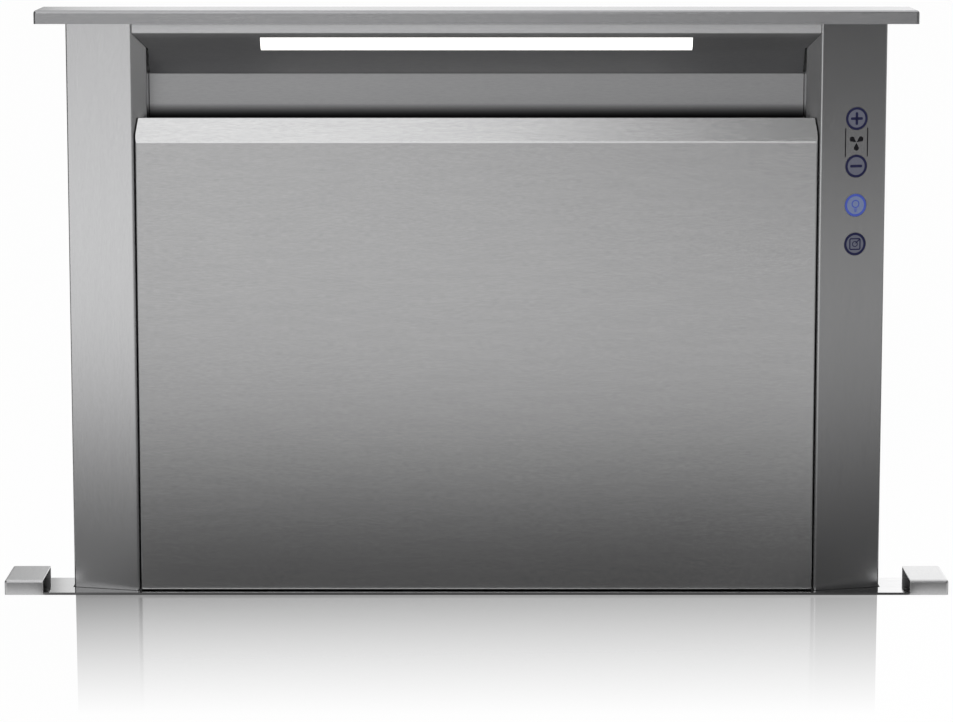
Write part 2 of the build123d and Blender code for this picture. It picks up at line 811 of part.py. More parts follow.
def lift_motor():
    """Can motor standing on the gearbox, with a terminal block on its end."""
    base_z = shaft_z + gearbox_size[2] / 2 + gearbox_foot
    top_z = base_z + motor_length
    can = Pos(gearbox_inset, shaft_y, (base_z + top_z) / 2) * Cylinder(motor_radius, motor_length)
    can = fillet(can.edges().group_by(Axis.Z)[-1], bend_radius)
    terminal = Box(motor_radius, motor_radius / 2, 2 * gearbox_corner)
    return can + Pos(gearbox_inset, shaft_y, top_z) * terminal


def guide_shoes():
    """Moulded shoes on the pillars that run in the guide rails."""
    shoes = []
    groove = rail_width / 2 - rail_wall
    pad_start = rail_x + sheet
    base_end = pillar_outer_half + 2 * rail_wall
    for z in shoe_heights:
        half = shoe_length / 2
        pad = block((pad_start, rail_x + rail_depth - rail_wall - shoe_play),
                    (rail_y - groove + shoe_play, rail_y + groove - shoe_play), (z - half, z + half))
        pad = chamfer(pad.edges().filter_by(Axis.Y), rail_wall)
        arm = block((pillar_outer_half, pad_start), (rail_y - groove / 2, rail_y + groove / 2),
                    (z - half / 2, z + half / 2))
        base = block((pillar_outer_half, base_end), (rail_y - groove / 2, shaft_y + bush_radius),
                     (z - half, z + half))
        shoes.append(pad + arm + base)
    return [side for shoe in shoes for side in both_sides(shoe)]


def guide_rails():
    """Channels down the chassis' sides, open towards the mast."""
    half = rail_width / 2
    outer = chassis_half - sheet
    path = [(rail_x, rail_y - half), (outer, rail_y - half), (outer, rail_y + half), (rail_x, rail_y + half)]
    foot = shoe_heights[-1] - shoe_length / 2 - travel - 2 * shoe_play
    return both_sides(upright(folded(path, rail_wall), foot, -2 * seal_height))


# ---- chassis ----

def chassis_wall(y, inwards):
    """Front or back wall: a flat sheet with two pressed beads."""
    path = [(-chassis_half, y)]
    for centre in (-bead_offset, bead_offset):
        path += bead(centre, y, inwards * bead_depth)
    path += [(chassis_half, y)]
    side = Side.LEFT if inwards > 0 else Side.RIGHT
    return upright(folded(path, sheet, side), -chassis_height, seat_relief)


def chassis_front():
    """Front wall with the round opening to the blower and two cable holes."""
    wall = chassis_wall(chassis_front_y, 1)
    opening = Rot(90, 0, 0) * Cylinder(inlet_radius + opening_margin, 4 * sheet)
    return wall - Pos(0, chassis_front_y, wheel_z) * opening - cable_passages()


def cable_passages():
    """Round holes behind the control box and the connection box."""
    hole = Rot(90, 0, 0) * Cylinder(cable_hole_radius, 6 * sheet)
    return [Pos(x, chassis_front_y, z) * hole for x, z in (box_centre(-1), box_centre(1))]


def chassis_back():
    """Plain back wall."""
    return chassis_wall(chassis_back_y, -1)


def chassis_side():
    """Right-hand side: a channel whose flanges lie inside the front and back walls."""
    inner = chassis_back_y - sheet
    path = [
        (chassis_half - chassis_flange, -inner),
        (chassis_half, -inner),
        (chassis_half, inner),
        (chassis_half - chassis_flange, inner),
    ]
    return upright(folded(path, sheet), -chassis_height, seat_relief)


def chassis_floor():
    """Tray that closes the bottom, relieved round the beads of the walls."""
    half = chassis_half - chassis_flange
    edge = chassis_back_y - sheet
    base = -chassis_height
    path = [(-edge, base + chassis_flange), (-edge, base), (edge, base), (edge, base + chassis_flange)]
    tray = lengthwise(folded(path, sheet), half)
    relief_half = bead_width / 2 + bead_depth
    relief_y = edge - bead_depth - slot_clearance
    for x in (-bead_offset, bead_offset):
        for side in (-1, 1):
            y = sorted((side * relief_y, side * (edge + 1)))
            tray -= block((x - relief_half, x + relief_half), y, (base - 1, base + 2 * chassis_flange))
    return tray


def counter_clamps():
    """Angle brackets on the sides, under the worktop's edge."""
    top = -worktop_thickness - 2 * clamp_pad
    path = [(chassis_half, top - clamp_height), (chassis_half, top), (chassis_half + clamp_reach, top)]
    angle = extrude(Plane.XZ * folded(path, leg_sheet, Side.RIGHT), clamp_width / 2, both=True)
    hole = Cylinder(clamp_screw_radius + shaft_play, 4 * leg_sheet)
    return both_sides(angle - Pos(chassis_half + clamp_screw_inset, 0, top) * hole)


def clamp_screws():
    """Jack screws that press up against the worktop, each with a swivel pad."""
    top = -worktop_thickness
    foot = top - clamp_pad - clamp_screw_length
    stem = Pos(0, 0, (top + foot) / 2) * Cylinder(clamp_screw_radius, top - foot)
    pad = Pos(0, 0, top - clamp_pad / 2) * Cylinder(clamp_pad_radius, clamp_pad)
    knob = Pos(0, 0, foot) * extrude(RegularPolygon(2 * clamp_screw_radius, 6), 2 * clamp_pad)
    return both_sides(Pos(chassis_half + clamp_screw_inset, 0, 0) * (stem + pad + knob))


def support_legs():
    """Slotted legs from the chassis' sides to the cabinet floor."""
    foot = -chassis_height - leg_reach
    outer = chassis_half
    path = [(outer, leg_height - chassis_height), (outer, foot), (outer + leg_foot, foot)]
    leg = extrude(Plane.XZ * folded(path, leg_sheet), leg_width / 2, both=True)
    slot_width = 2 * leg_bolt_radius + 2 * seal_clearance
    slot = Plane.YZ * extrude(SlotOverall(leg_slot, slot_width, rotation=90), 4 * leg_sheet, both=True)
    leg -= Pos(outer, 0, leg_slot_rise - chassis_height) * slot
    for y in (-leg_hole_half, leg_hole_half):
        leg -= Pos(outer + leg_hole_inset, y, foot) * Cylinder(leg_hole_radius, 4 * leg_sheet)
    return both_sides(leg)


def leg_bolts():
    """Bolts through the legs' slots."""
    bolts = []
    outer = chassis_half + leg_sheet
    middle = leg_slot_rise - chassis_height
    for z in (middle - leg_bolt_pitch / 2, middle + leg_bolt_pitch / 2):
        head = rod(2 * leg_bolt_radius, outer, outer + leg_bolt_head, 0, z)
        stem = rod(leg_bolt_radius, chassis_half, outer, 0, z)
        bolts += both_sides(head + stem)
    return bolts


# ---- blower ----

def scroll_outline():
    """Four quarter arcs, each tighter by one step, and a straight outlet; drawn in X and Z."""
    half = volute_step / 2
    centres = [(half, -half), (half, half), (-half, half), (-half, -half)]
    radii = [volute_radius - i * volute_step for i in range(4)]
    arcs = [CenterArc(centres[i], radii[i], 90 * i, 90) for i in range(3)]
    arcs.append(CenterArc(centres[3], radii[3], 270, 45))
    start = arcs[0] @ 0
    tongue = arcs[3] @ 1
    outlet = Polyline(tongue, (tongue.X, -outlet_drop), (start.X, -outlet_drop), start)
    return make_face(arcs + [outlet])


def facing_front(face, near_y, far_y):
    """A section drawn in X and Z about the wheel's axis, carried from one y to another."""
    return Pos(0, near_y, wheel_z) * extrude(Plane.XZ * face, near_y - far_y)


def around_scroll(growth, near_y, far_y):
    """The scroll's inside, grown sideways, from one y to another and cut off at the outlet."""
    outline = offset(scroll_outline(), amount=growth, kind=Kind.INTERSECTION) if growth else scroll_outline()
    solid = facing_front(outline, near_y, far_y)
    return solid & block((-chassis_half, chassis_half), (far_y, near_y), (outlet_z, 0))


def blower_scroll():
    """Spiral casing: a wrapped wall with a rim for the cover, on a back plate with the inlet."""
    casing = around_scroll(sheet, scroll_back_y, scroll_front_y)
    casing += around_scroll(cover_rim, scroll_front_y + sheet, scroll_front_y)
    casing -= around_scroll(0, scroll_back_y - sheet, scroll_front_y)
    casing -= facing_front(Circle(inlet_radius + opening_margin), scroll_back_y, scroll_back_y - sheet)
    return casing - damper_spindle_holes()


def outlet_span():
    """Left and right of the scroll's straight outlet, inside its walls."""
    half = volute_step / 2
    low = -half + (volute_radius - 3 * volute_step) * cos(radians(45))
    return low, half + volute_radius


def blower_cover():
    """Front plate of the scroll, with a hole for the spindle."""
    plate = around_scroll(cover_rim, scroll_front_y, scroll_front_y - sheet)
    plate -= facing_front(Circle(fan_motor_boss), scroll_front_y, scroll_front_y - sheet)
    return plate - damper_spindle_holes()


def inlet_ring():
    """Bell-mouthed ring that leads the air from the chassis into the wheel."""
    y = scroll_back_y - sheet
    wall = leg_sheet
    throat = inlet_radius - opening_margin / 2
    bell = inlet_radius + opening_margin - wall
    profile = make_face(Polyline(
        (bell, y),
        (inlet_radius + inlet_flange, y),
        (inlet_radius + inlet_flange, y - wall),
        (bell + wall, y - wall),
        (throat + wall, y - inlet_depth),
        (throat, y - inlet_depth),
        (throat + wall, y - 2 * wall),
        close=True,
    ))
    return Pos(0, 0, wheel_z) * revolve(profile, Axis.Y)


def blower_wheel():
    """Forward-curved wheel: a disc with a hub, thin bent blades and a rim at the inlet side."""
    inner = wheel_radius - blade_depth
    middle = (inner + 0.42 * blade_depth, blade_bulge)
    end = (wheel_radius - shoe_play, blade_bulge / 2)
    curve = ThreePointArc((inner, 0), middle, end)
    blade = make_face(offset(curve, amount=sheet, side=Side.RIGHT, closed=True))
    rim_z = wheel_width - wheel_ring
    solid = Pos(0, 0, -leg_sheet) * extrude(Circle(wheel_radius) - Circle(shaft_radius), leg_sheet)
    solid += Pos(0, 0, -leg_sheet) * extrude(Circle(wheel_hub) - Circle(shaft_radius), 1.5 * wheel_hub)
    solid += Pos(0, 0, rim_z) * extrude(Circle(wheel_radius) - Circle(inner), wheel_ring)
    solid += [Rot(0, 0, 360 * i / blade_count) * extrude(blade, rim_z) for i in range(blade_count)]
    return Pos(0, scroll_front_y + wheel_setback, wheel_z) * Rot(-90, 0, 0) * solid


def wheel_spindle():
    """Motor spindle that carries the wheel."""
    middle_y = scroll_front_y + spindle_reach - spindle_length / 2
    return Pos(0, middle_y, wheel_z) * Rot(90, 0, 0) * Cylinder(shaft_radius, spindle_length)


def blower_motor():
    """Round motor on the cover, with a mounting flange and cooling slots in its end."""
    y = scroll_front_y - sheet
    bore = shaft_radius + shaft_play
    socket_y = scroll_front_y + spindle_reach - spindle_length - leg_sheet
    radius = fan_motor_radius
    flange = radius + fan_motor_flange
    end_y = y - fan_motor_depth
    profile = make_face(Polyline(
        (0, socket_y),
        (bore, socket_y),
        (bore, y - leg_sheet),
        (fan_motor_boss, y - leg_sheet),
        (fan_motor_boss, y),
        (flange, y),
        (flange, y - 2 * leg_sheet),
        (radius, y - 2 * leg_sheet),
        (radius, end_y + fan_motor_flange + leg_sheet),
        (radius - fan_motor_flange, end_y + leg_sheet),
        (radius / 3, end_y),
        (0, end_y),
        close=True,
    ))
    can = Pos(0, 0, wheel_z) * revolve(profile, Axis.Y)
    slot = Pos(0, end_y, 0.6 * radius) * Box(2 * leg_sheet, 4 * leg_sheet, radius / 3)
    for i in range(fan_motor_slots):
        can -= Pos(0, 0, wheel_z) * Rot(0, 360 * i / fan_motor_slots, 0) * slot
    return can


def outlet_adapter():
    """Transition from the rectangular outlet to the round collar."""
    low, high = outlet_span()
    width = high - low
    x, y = collar_centre()
    top = Pos((low + high) / 2, (scroll_front_y + scroll_back_y) / 2, outlet_z)
    bottom = Pos(x, y, outlet_z - adapter_height)
    outer = loft([top * Rectangle(width + 2 * sheet, volute_depth), bottom * Circle(collar_radius)])
    inner = loft([
        top * Rectangle(width, volute_depth - 2 * sheet),
        bottom * Circle(collar_radius - sheet),
    ])
    return outer - inner


def collar_centre():
    """X and Y of the duct collar, clear of the chassis."""
    low, high = outlet_span()
    return (low + high) / 2, chassis_front_y - collar_radius - collar_gap


def duct_collar():
    """Round collar that the duct slides over."""
    x, y = collar_centre()
    wall = Circle(collar_radius) - Circle(collar_radius - sheet)
    top = outlet_z - adapter_height
    return Pos(x, y, 0) * upright(wall, top - collar_length, top)


def damper_spindle_axis():
    """X and Z of the damper's spindle, near the outlet's outer wall."""
    _, high = outlet_span()
    return high - damper_inset, wheel_z - damper_drop


def damper_spindle_holes():
    """Bearing holes for the damper's spindle."""
    x, z = damper_spindle_axis()
    bar = Rot(90, 0, 0) * Cylinder(damper_rod + shaft_play, volute_depth + 4 * damper_rod)
    return Pos(x, (scroll_front_y + scroll_back_y) / 2, z) * bar


def damper_spindle():
    """Round spindle across the outlet."""
    x, z = damper_spindle_axis()
    start_y = scroll_back_y - seal_clearance
    end_y = scroll_front_y - sheet - damper_rod
    return Pos(x, (start_y + end_y) / 2, z) * Rot(90, 0, 0) * Cylinder(damper_rod, start_y - end_y)


def damper_flap():
    """Back-draught flap, closed at rest, which hangs down into the duct when the blower runs."""
    x, z = damper_spindle_axis()
    low, _ = outlet_span()
    near_y = scroll_back_y - sheet - damper_play
    far_y = scroll_front_y + damper_play
    middle = Pos(x, (near_y + far_y) / 2, z) * Rot(90, 0, 0)
    sleeve = middle * Cylinder(damper_rod + sheet, near_y - far_y)
    edge = low + damper_play
    blade = block((edge, x), (far_y, near_y), (z - sheet / 2, z + sheet / 2))
    stiffener = block((edge, edge + sheet), (far_y, near_y), (z - sheet / 2, z + cover_rim))
    return sleeve + blade + stiffener - middle * Cylinder(damper_rod, volute_depth)


def box_centre(side):
    """X and Z of the control box on the left or the connection box on the right."""
    drop = control_box_drop if side < 0 else connection_box_drop
    return side * (chassis_half - box_inset), -drop


def box_case(side, size):
    """Outside of a box on the chassis' front, as its three pairs of limits."""
    width, height, depth = size
    x, z = box_centre(side)
    return (
        (x - width / 2, x + width / 2),
        (chassis_front_y - depth, chassis_front_y),
        (z - height / 2, z + height / 2),
    )


def control_box():
    """Closed housing of the power electronics."""
    case = block(*box_case(-1, control_box_size))
    case = fillet(case.edges().filter_by(Axis.Y), 4 * bend_radius)
    return fillet(case.faces().sort_by(Axis.Y)[0].edges(), bend_radius)


def connection_box():
    """Wiring box for the mains, with a cable hole in its underside."""
    outside = box_case(1, connection_box_size)
    case = block(*outside)
    case = fillet(case.faces().sort_by(Axis.Y)[0].edges(), bend_radius)
    case -= block(*[(low + sheet, high - sheet) for low, high in outside])
    x, y, z = cable_entry()
    hole = Pos(x, y, z) * Cylinder(cable_hole_radius + bushing_wall, 6 * sheet)
    return case - hole - cable_passages()


def cable_entry():
    """Middle of the cable hole on the connection box's underside."""
    (left, right), (far, near), (low, _) = box_case(1, connection_box_size)
    return (left + right) / 2, (far + near) / 2, low


def cable_bushing():
    """Moulded bushing in the wiring box's cable hole, snapped in behind a barb."""
    x, y, low = cable_entry()
    inside = cable_hole_radius
    outside = inside + bushing_wall
    barb = outside + bushing_wall
    top = low + sheet + 2 * bushing_wall
    profile = make_face(Polyline(
        (inside, low - bushing_flange),
        (inside + bushing_flange, low - bushing_flange),
        (inside + bushing_flange, low),
        (outside, low),
        (outside, low + sheet),
        (barb, low + sheet),
        (outside, top),
        (inside, top),
        close=True,
    ))
    return Pos(x, y, 0) * revolve(Plane.XZ * profile, Axis.Z)


def cover_screw_places():
    """Places in X and Z on the scroll's rim."""
    half = volute_step / 2
    centres = [(half, -half), (half, half), (-half, half), (-half, -half)]
    places = []
    for i, (x, z) in enumerate(centres):
        reach = volute_radius - i * volute_step + cover_rim / 2
        for angle in (15, 60) if i < 3 else (15,):
            turn = radians(90 * i + angle)
            places.append((x + reach * cos(turn), wheel_z + z + reach * sin(turn)))
    low, high = outlet_span()
    foot_z = outlet_z + cover_rim
    return places + [(low - cover_rim / 2, foot_z), (high + cover_rim / 2, foot_z)]


def motor_screw_places():
    """Places in X, Y and Z on the front of the motor's flange."""
    reach = fan_motor_radius + fan_motor_flange / 2
    y = scroll_front_y - sheet - 2 * leg_sheet
    turns = [2 * pi * (i + 0.5) / fan_motor_screws for i in range(fan_motor_screws)]
    return [(reach * cos(turn), y, wheel_z + reach * sin(turn)) for turn in turns]


def pan_screws():
    """Pan-head screws of the blower's cover, its motor and the chassis' front wall, heads only."""
    head = Cylinder(screw_radius, screw_head)
    head = fillet(head.edges().group_by(Axis.Z)[-1], 0.6 * screw_head)
    flange_x = chassis_half - chassis_flange / 2
    heights = [-chassis_height * (i + 0.5) / side_screws for i in range(side_screws)]
    places = [(side * flange_x, chassis_front_y, z) for side in (-1, 1) for z in heights]
    places += [(x, scroll_front_y - sheet, z) for x, z in cover_screw_places()]
    places += motor_screw_places()
    return [Pos(*place) * Rot(90, 0, 0) * Pos(0, 0, screw_head / 2) * head for place in places]


nodes = {
    "trim_plate": trim_plate(),
    "left_end_cap": mirror(end_cap(), Plane.YZ),
    "right_end_cap": end_cap(),
    "slot_seal": slot_seal(),
    "chassis_front": chassis_front(),
    "chassis_back": chassis_back(),
    "chassis_sides": both_sides(chassis_side()),
    "chassis_floor": chassis_floor(),
    "pan_screws": pan_screws(),
    "guide_rails": guide_rails(),
    "gear_racks": both_sides(gear_rack()),
    "counter_clamps": counter_clamps(),
    "clamp_screws": clamp_screws(),
    "support_legs": support_legs(),
    "leg_bolts": leg_bolts(),
    "blower_scroll": blower_scroll(),
    "blower_cover": blower_cover(),
    "inlet_ring": inlet_ring(),
    "blower_motor": blower_motor(),
    "outlet_adapter": outlet_adapter(),
    "duct_collar": duct_collar(),
    "control_box": control_box(),
    "connection_box": connection_box(),
    "cable_bushing": cable_bushing(),
    "blower_wheel": blower_wheel(),
    "wheel_spindle": wheel_spindle(),
    "damper_flap": damper_flap(),
    "damper_spindle": damper_spindle(),
    "lid": lid(),
    "lid_base": lid_base(),
    "left_pillar": mirror(pillar(), Plane.YZ),
    "right_pillar": right_pillar(),
    "mast_back": mast_back(),
    "lower_apron": lower_apron(),
    "head_liner": head_liner(),
    "lamp_lens": lamp_lens(),
    "lamp_housing": lamp_housing(),
    "lamp_board": lamp_board(),
    "filter_frames": filter_frames(),
    "filter_meshes": filter_meshes(),
    "filter_pulls": filter_pulls(),
    "filter_shelf": filter_shelf(),
    "catch_plates": catch_plates(),
    "control_board": control_board(),
    "hinge_blocks": hinge_blocks(),
    "hinge_pins": hinge_pins(),
    "foot_frame": foot_frame(),
    "lift_gearbox": lift_gearbox(),
    "lift_motor": lift_motor(),
    "guide_shoes": guide_shoes(),
    "shaft_bushes": shaft_bushes(),
    "front_panel": front_panel(),
    "panel_liner": panel_liner(),
    "panel_magnets": panel_magnets(),
    "cross_shaft": cross_shaft(),
    "pinions": both_sides(pinion()),
}
for name, height in button_heights.items():
    nodes[name + "_button"] = push_button(height)

os.makedirs("parts", exist_ok=True)
for name, shape in nodes.items():
    pieces = shape if isinstance(shape, list) else [shape]
    export_step(Compound(children=pieces), f"parts/{name}.step")
print(len(nodes), "nodes written")
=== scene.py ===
import bpy
import math
from mathutils import Matrix, Vector


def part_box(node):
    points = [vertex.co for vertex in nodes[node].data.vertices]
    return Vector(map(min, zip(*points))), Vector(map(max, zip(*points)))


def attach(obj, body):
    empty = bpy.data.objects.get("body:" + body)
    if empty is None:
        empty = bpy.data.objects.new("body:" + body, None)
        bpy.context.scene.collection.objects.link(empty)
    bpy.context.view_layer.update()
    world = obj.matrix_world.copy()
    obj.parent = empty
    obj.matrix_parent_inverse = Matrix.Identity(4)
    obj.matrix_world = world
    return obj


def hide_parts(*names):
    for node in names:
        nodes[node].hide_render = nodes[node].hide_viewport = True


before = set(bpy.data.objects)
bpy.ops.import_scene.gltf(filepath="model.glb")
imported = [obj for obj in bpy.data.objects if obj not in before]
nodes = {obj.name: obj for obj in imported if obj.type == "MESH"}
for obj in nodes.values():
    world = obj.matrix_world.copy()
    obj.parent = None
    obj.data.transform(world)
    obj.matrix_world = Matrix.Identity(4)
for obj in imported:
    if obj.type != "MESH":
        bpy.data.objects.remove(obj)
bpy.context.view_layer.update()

millimetre = 0.001
print("frame loaded:", len(nodes), "nodes")


def linearColor(hexCode):
    # sRGB hex to the linear values that Blender's sockets take
    channels = [int(hexCode[i:i + 2], 16) / 255 for i in (0, 2, 4)]
    return [c / 12.92 if c <= 0.04045 else ((c + 0.055) / 1.055) ** 2.4 for c in channels] + [1.0]


def addNode(tree, kind, settings=None, links=None):
    # one node with its settings, and its inputs linked to other nodes' outputs
    node = tree.nodes.new(kind)
    for name, value in (settings or {}).items():
        if isinstance(name, int) or name in node.inputs:
            node.inputs[name].default_value = value
        else:
            setattr(node, name, value)
    for name, source in (links or {}).items():
        tree.links.new(source, node.inputs[name])
    return node


def emptyMaterial(name):
    material = bpy.data.materials.new(name)
    material.use_nodes = True
    material.node_tree.nodes.clear()
    return material, material.node_tree


def startMaterial(name, settings):
    # a Principled shader with its constant values on its own sockets
    material, tree = emptyMaterial(name)
    shader = addNode(tree, "ShaderNodeBsdfPrincipled", settings)
    addNode(tree, "ShaderNodeOutputMaterial", links={"Surface": shader.outputs["BSDF"]})
    place = addNode(tree, "ShaderNodeTexCoord").outputs["Object"]
    return material, tree, shader, place


def objectAxes(tree):
    # the place on the piece along x, y and z, in metres
    place = addNode(tree, "ShaderNodeTexCoord").outputs["Object"]
    return addNode(tree, "ShaderNodeSeparateXYZ", links={"Vector": place}).outputs


def scaledPlace(tree, place, grain, turn=0.0):
    # the place counted in grains, whose size is in millimetres along x, y and z; turn is in degrees
    settings = {"Scale": [1 / (size * millimetre) for size in grain], "Rotation": [0, math.radians(turn), 0]}
    return addNode(tree, "ShaderNodeMapping", settings, {"Vector": place}).outputs["Vector"]


def stretchedNoise(tree, place, grain, detail=2.0):
    settings = {"Scale": 1.0, "Detail": detail, "Roughness": 0.55}
    scaled = scaledPlace(tree, place, grain)
    return addNode(tree, "ShaderNodeTexNoise", settings, {"Vector": scaled}).outputs["Fac"]


def varyColor(tree, shader, factor, darkHex, paleHex, low=0.3, high=0.7):
    ramp = addNode(tree, "ShaderNodeValToRGB", links={"Fac": factor})
    ramp.color_ramp.elements[0].position = low
    ramp.color_ramp.elements[0].color = linearColor(darkHex)
    ramp.color_ramp.elements[1].position = high
    ramp.color_ramp.elements[1].color = linearColor(paleHex)
    tree.links.new(ramp.outputs["Color"], shader.inputs["Base Color"])


def varyRoughness(tree, shader, factor, low, high):
    spread = addNode(tree, "ShaderNodeMapRange", {"To Min": low, "To Max": high}, {"Value": factor})
    tree.links.new(spread.outputs["Result"], shader.inputs["Roughness"])


def addBump(tree, shader, factor, strength, depth):
    # depth is the height of the pattern in millimetres
    settings = {"Strength": strength, "Distance": depth * millimetre}
    bump = addNode(tree, "ShaderNodeBump", settings, {"Height": factor})
    tree.links.new(bump.outputs["Normal"], shader.inputs["Normal"])


brushLook = {
    "cloudSize": 7, "cloudShare": 0.25, "darkBelow": 0.35, "paleAbove": 0.9,
    "glossSpread": 0.025, "bumpStrength": 0.05, "bumpDepth": 0.03,
}


def brushedStainless(name, grain, gloss=0.22, relief=1.0, darkHex="c0c0c1", paleHex="cfcfcf"):
    # 304 sheet, belt brushed: a grey satin metal with fine streaks along the belt's run.
    # Real strokes are 0.1 mm wide; they are drawn 0.8 mm wide so that they show.
    look = brushLook
    material, tree, shader, place = startMaterial(name, {"Metallic": 1.0})
    strokes = stretchedNoise(tree, place, grain, 3.0)
    clouds = stretchedNoise(tree, place, [size * look["cloudSize"] for size in grain], 1.0)
    mixed = addNode(tree, "ShaderNodeMath", {"operation": "MULTIPLY_ADD", 1: look["cloudShare"]},
                    {0: clouds, 2: strokes})
    varyColor(tree, shader, mixed.outputs["Value"], darkHex, paleHex, look["darkBelow"], look["paleAbove"])
    spread = look["glossSpread"] * relief
    varyRoughness(tree, shader, strokes, gloss - spread, gloss + spread)
    addBump(tree, shader, strokes, look["bumpStrength"] * relief, look["bumpDepth"])
    return material


acrossGrain, uprightGrain, deepGrain = (6, 0.8, 0.8), (0.8, 0.8, 6), (0.8, 6, 0.8)
brushedAcross = brushedStainless("stainless brushed across", acrossGrain)
brushedUpright = brushedStainless("stainless brushed upright", uprightGrain, 0.22, 0.6, "c4c4c5", "cccccd")
brushedDeep = brushedStainless("stainless brushed front to back", deepGrain, 0.3)
# a darker copy of the brushed steel for the lid: painted shade on the lid
lidSteelPaintedDarker = brushedStainless("stainless brushed across, lid, painted darker", acrossGrain, 0.26, 1.0, "a6a6a8", "b0b0b1")
# a paler copy of the brushed steel for the head's sheet: painted light on its lip; painted shade further in
# is added below
headSteelPaintedLightAndShade = brushedStainless("stainless brushed across, head, painted light and shade", acrossGrain, 0.36, 1.4, "cacacc", "d6d6d7")
polishedAcross = brushedStainless("stainless finely polished across", acrossGrain, 0.09, 0.4)

# The head's inside, where shade is painted into the steel: places in millimetres, and how much of the steel's
# brightness is left there
headSizes = {"shadeFrom": 1.0, "shadeTo": 4.0, "wallFrom": 8.0, "wallTo": 9.2,
             "foldHeight": 383.5, "foldShadeHeight": 10.5, "foldShadeDepth": 9.0}
headShadeShares = {"ceiling": 0.78, "wall": 0.62, "foldShade": 0.2}
foldShadePower = 2.2   # how quickly the painted shade gets darker towards the fold


def paintShadeInsideHead():
    # painted shade: the head's sheet is darkened behind its lip, and more on its back wall, for the shade
    # inside the recess, and darker still on the wall's last millimetres above the fold over the filters, for
    # the shade over the panel's top
    sizes = {name: size * millimetre for name, size in headSizes.items()}
    tree = headSteelPaintedLightAndShade.node_tree
    shader = [node for node in tree.nodes if node.type == "BSDF_PRINCIPLED"][0]
    steel = shader.inputs["Base Color"].links[0].from_socket
    axes = objectAxes(tree)
    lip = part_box("head_liner")[0].y
    behindLip = addNode(tree, "ShaderNodeMapRange", {
        "From Min": lip + sizes["shadeFrom"], "From Max": lip + sizes["shadeTo"],
        "To Min": 1.0, "To Max": headShadeShares["ceiling"]}, {"Value": axes["Y"]}).outputs["Result"]
    onWall = addNode(tree, "ShaderNodeMapRange", {
        "From Min": sizes["wallFrom"], "From Max": sizes["wallTo"],
        "To Min": 1.0, "To Max": headShadeShares["wall"] / headShadeShares["ceiling"]},
        {"Value": axes["Y"]}).outputs["Result"]
    inside = addNode(tree, "ShaderNodeMath", {"operation": "MULTIPLY"},
                     {0: behindLip, 1: onWall}).outputs["Value"]
    aboveFold = addNode(tree, "ShaderNodeMapRange", {
        "From Min": sizes["foldHeight"], "From Max": sizes["foldHeight"] + sizes["foldShadeHeight"],
        "To Min": headShadeShares["foldShade"], "To Max": 1.0}, {"Value": axes["Z"]}).outputs["Result"]
    unshaded = addNode(tree, "ShaderNodeMath", {"operation": "POWER", 1: foldShadePower},
                    {0: aboveFold}).outputs["Value"]
    beforeWall = addNode(tree, "ShaderNodeMath", {"operation": "LESS_THAN", 1: sizes["foldShadeDepth"]},
                         {0: axes["Y"]}).outputs["Value"]
    unshaded = addNode(tree, "ShaderNodeMath", {"operation": "MAXIMUM"},
                    {0: unshaded, 1: beforeWall}).outputs["Value"]
    share = addNode(tree, "ShaderNodeMath", {"operation": "MULTIPLY"}, {0: inside, 1: unshaded}).outputs["Value"]
    # the steel's colour is scaled down by these shares: painted shade
    shadedSteel = addNode(tree, "ShaderNodeVectorMath", {"operation": "SCALE"}, {0: steel, "Scale": share})
    tree.links.new(shadedSteel.outputs["Vector"], shader.inputs["Base Color"])


# paints shade into the head's steel inside the recess and towards the fold
paintShadeInsideHead()


def galvanisedSheet():
    # hot dipped zinc on steel: dull blue-grey with crystal spangles about 8 mm across
    material, tree, shader, place = startMaterial("galvanised sheet", {"Metallic": 1.0})
    spangle = addNode(tree, "ShaderNodeTexVoronoi", {"Scale": 1.0},
                      {"Vector": scaledPlace(tree, place, (8, 8, 8))})
    tone = addNode(tree, "ShaderNodeSeparateColor", links={"Color": spangle.outputs["Color"]}).outputs["Red"]
    varyColor(tree, shader, tone, "9b9fa2", "acb0b3", 0.0, 1.0)
    varyRoughness(tree, shader, tone, 0.36, 0.5)
    addBump(tree, shader, stretchedNoise(tree, place, (3, 3, 3)), 0.1, 0.1)
    return material


def mattePlastic(name, darkHex, paleHex, roughness):
    # moulded plastic with a spark-eroded texture, about 0.6 mm a grain
    material, tree, shader, place = startMaterial(name, {"IOR": 1.5})
    grain = stretchedNoise(tree, place, (0.6, 0.6, 0.6))
    varyColor(tree, shader, grain, darkHex, paleHex)
    varyRoughness(tree, shader, grain, roughness - 0.06, roughness + 0.06)
    addBump(tree, shader, grain, 0.25, 0.05)
    return material


def turnedMetal(name, darkHex, paleHex, low, high, grain):
    # machined or cast metal with a soft variation of its gloss
    material, tree, shader, place = startMaterial(name, {"Metallic": 1.0})
    marks = stretchedNoise(tree, place, grain)
    varyColor(tree, shader, marks, darkHex, paleHex)
    varyRoughness(tree, shader, marks, low, high)
    addBump(tree, shader, marks, 0.15, 0.05)
    return material


def blackEnamel():
    # stoved enamel on pressed steel: deep black, half gloss, a faint orange peel
    settings = {"IOR": 1.5, "Coat Weight": 0.3, "Coat Roughness": 0.2}
    material, tree, shader, place = startMaterial("black enamel", settings)
    peel = stretchedNoise(tree, place, (2.5, 2.5, 2.5))
    varyColor(tree, shader, peel, "131315", "1b1b1e")
    varyRoughness(tree, shader, peel, 0.34, 0.44)
    addBump(tree, shader, peel, 0.2, 0.05)
    return material


def frostedLens():
    # opal acrylic lit from behind by a row of lamp chips: an even, slightly warm white
    settings = {"IOR": 1.49, "Roughness": 0.5, "Emission Strength": 1.25,
                "Emission Color": linearColor("fffdf8")}
    material, tree, shader, place = startMaterial("opal acrylic, lit", settings)
    frost = stretchedNoise(tree, place, (1.2, 1.2, 1.2))
    varyColor(tree, shader, frost, "e9ebe8", "f4f5f2")
    addBump(tree, shader, frost, 0.1, 0.05)
    return material


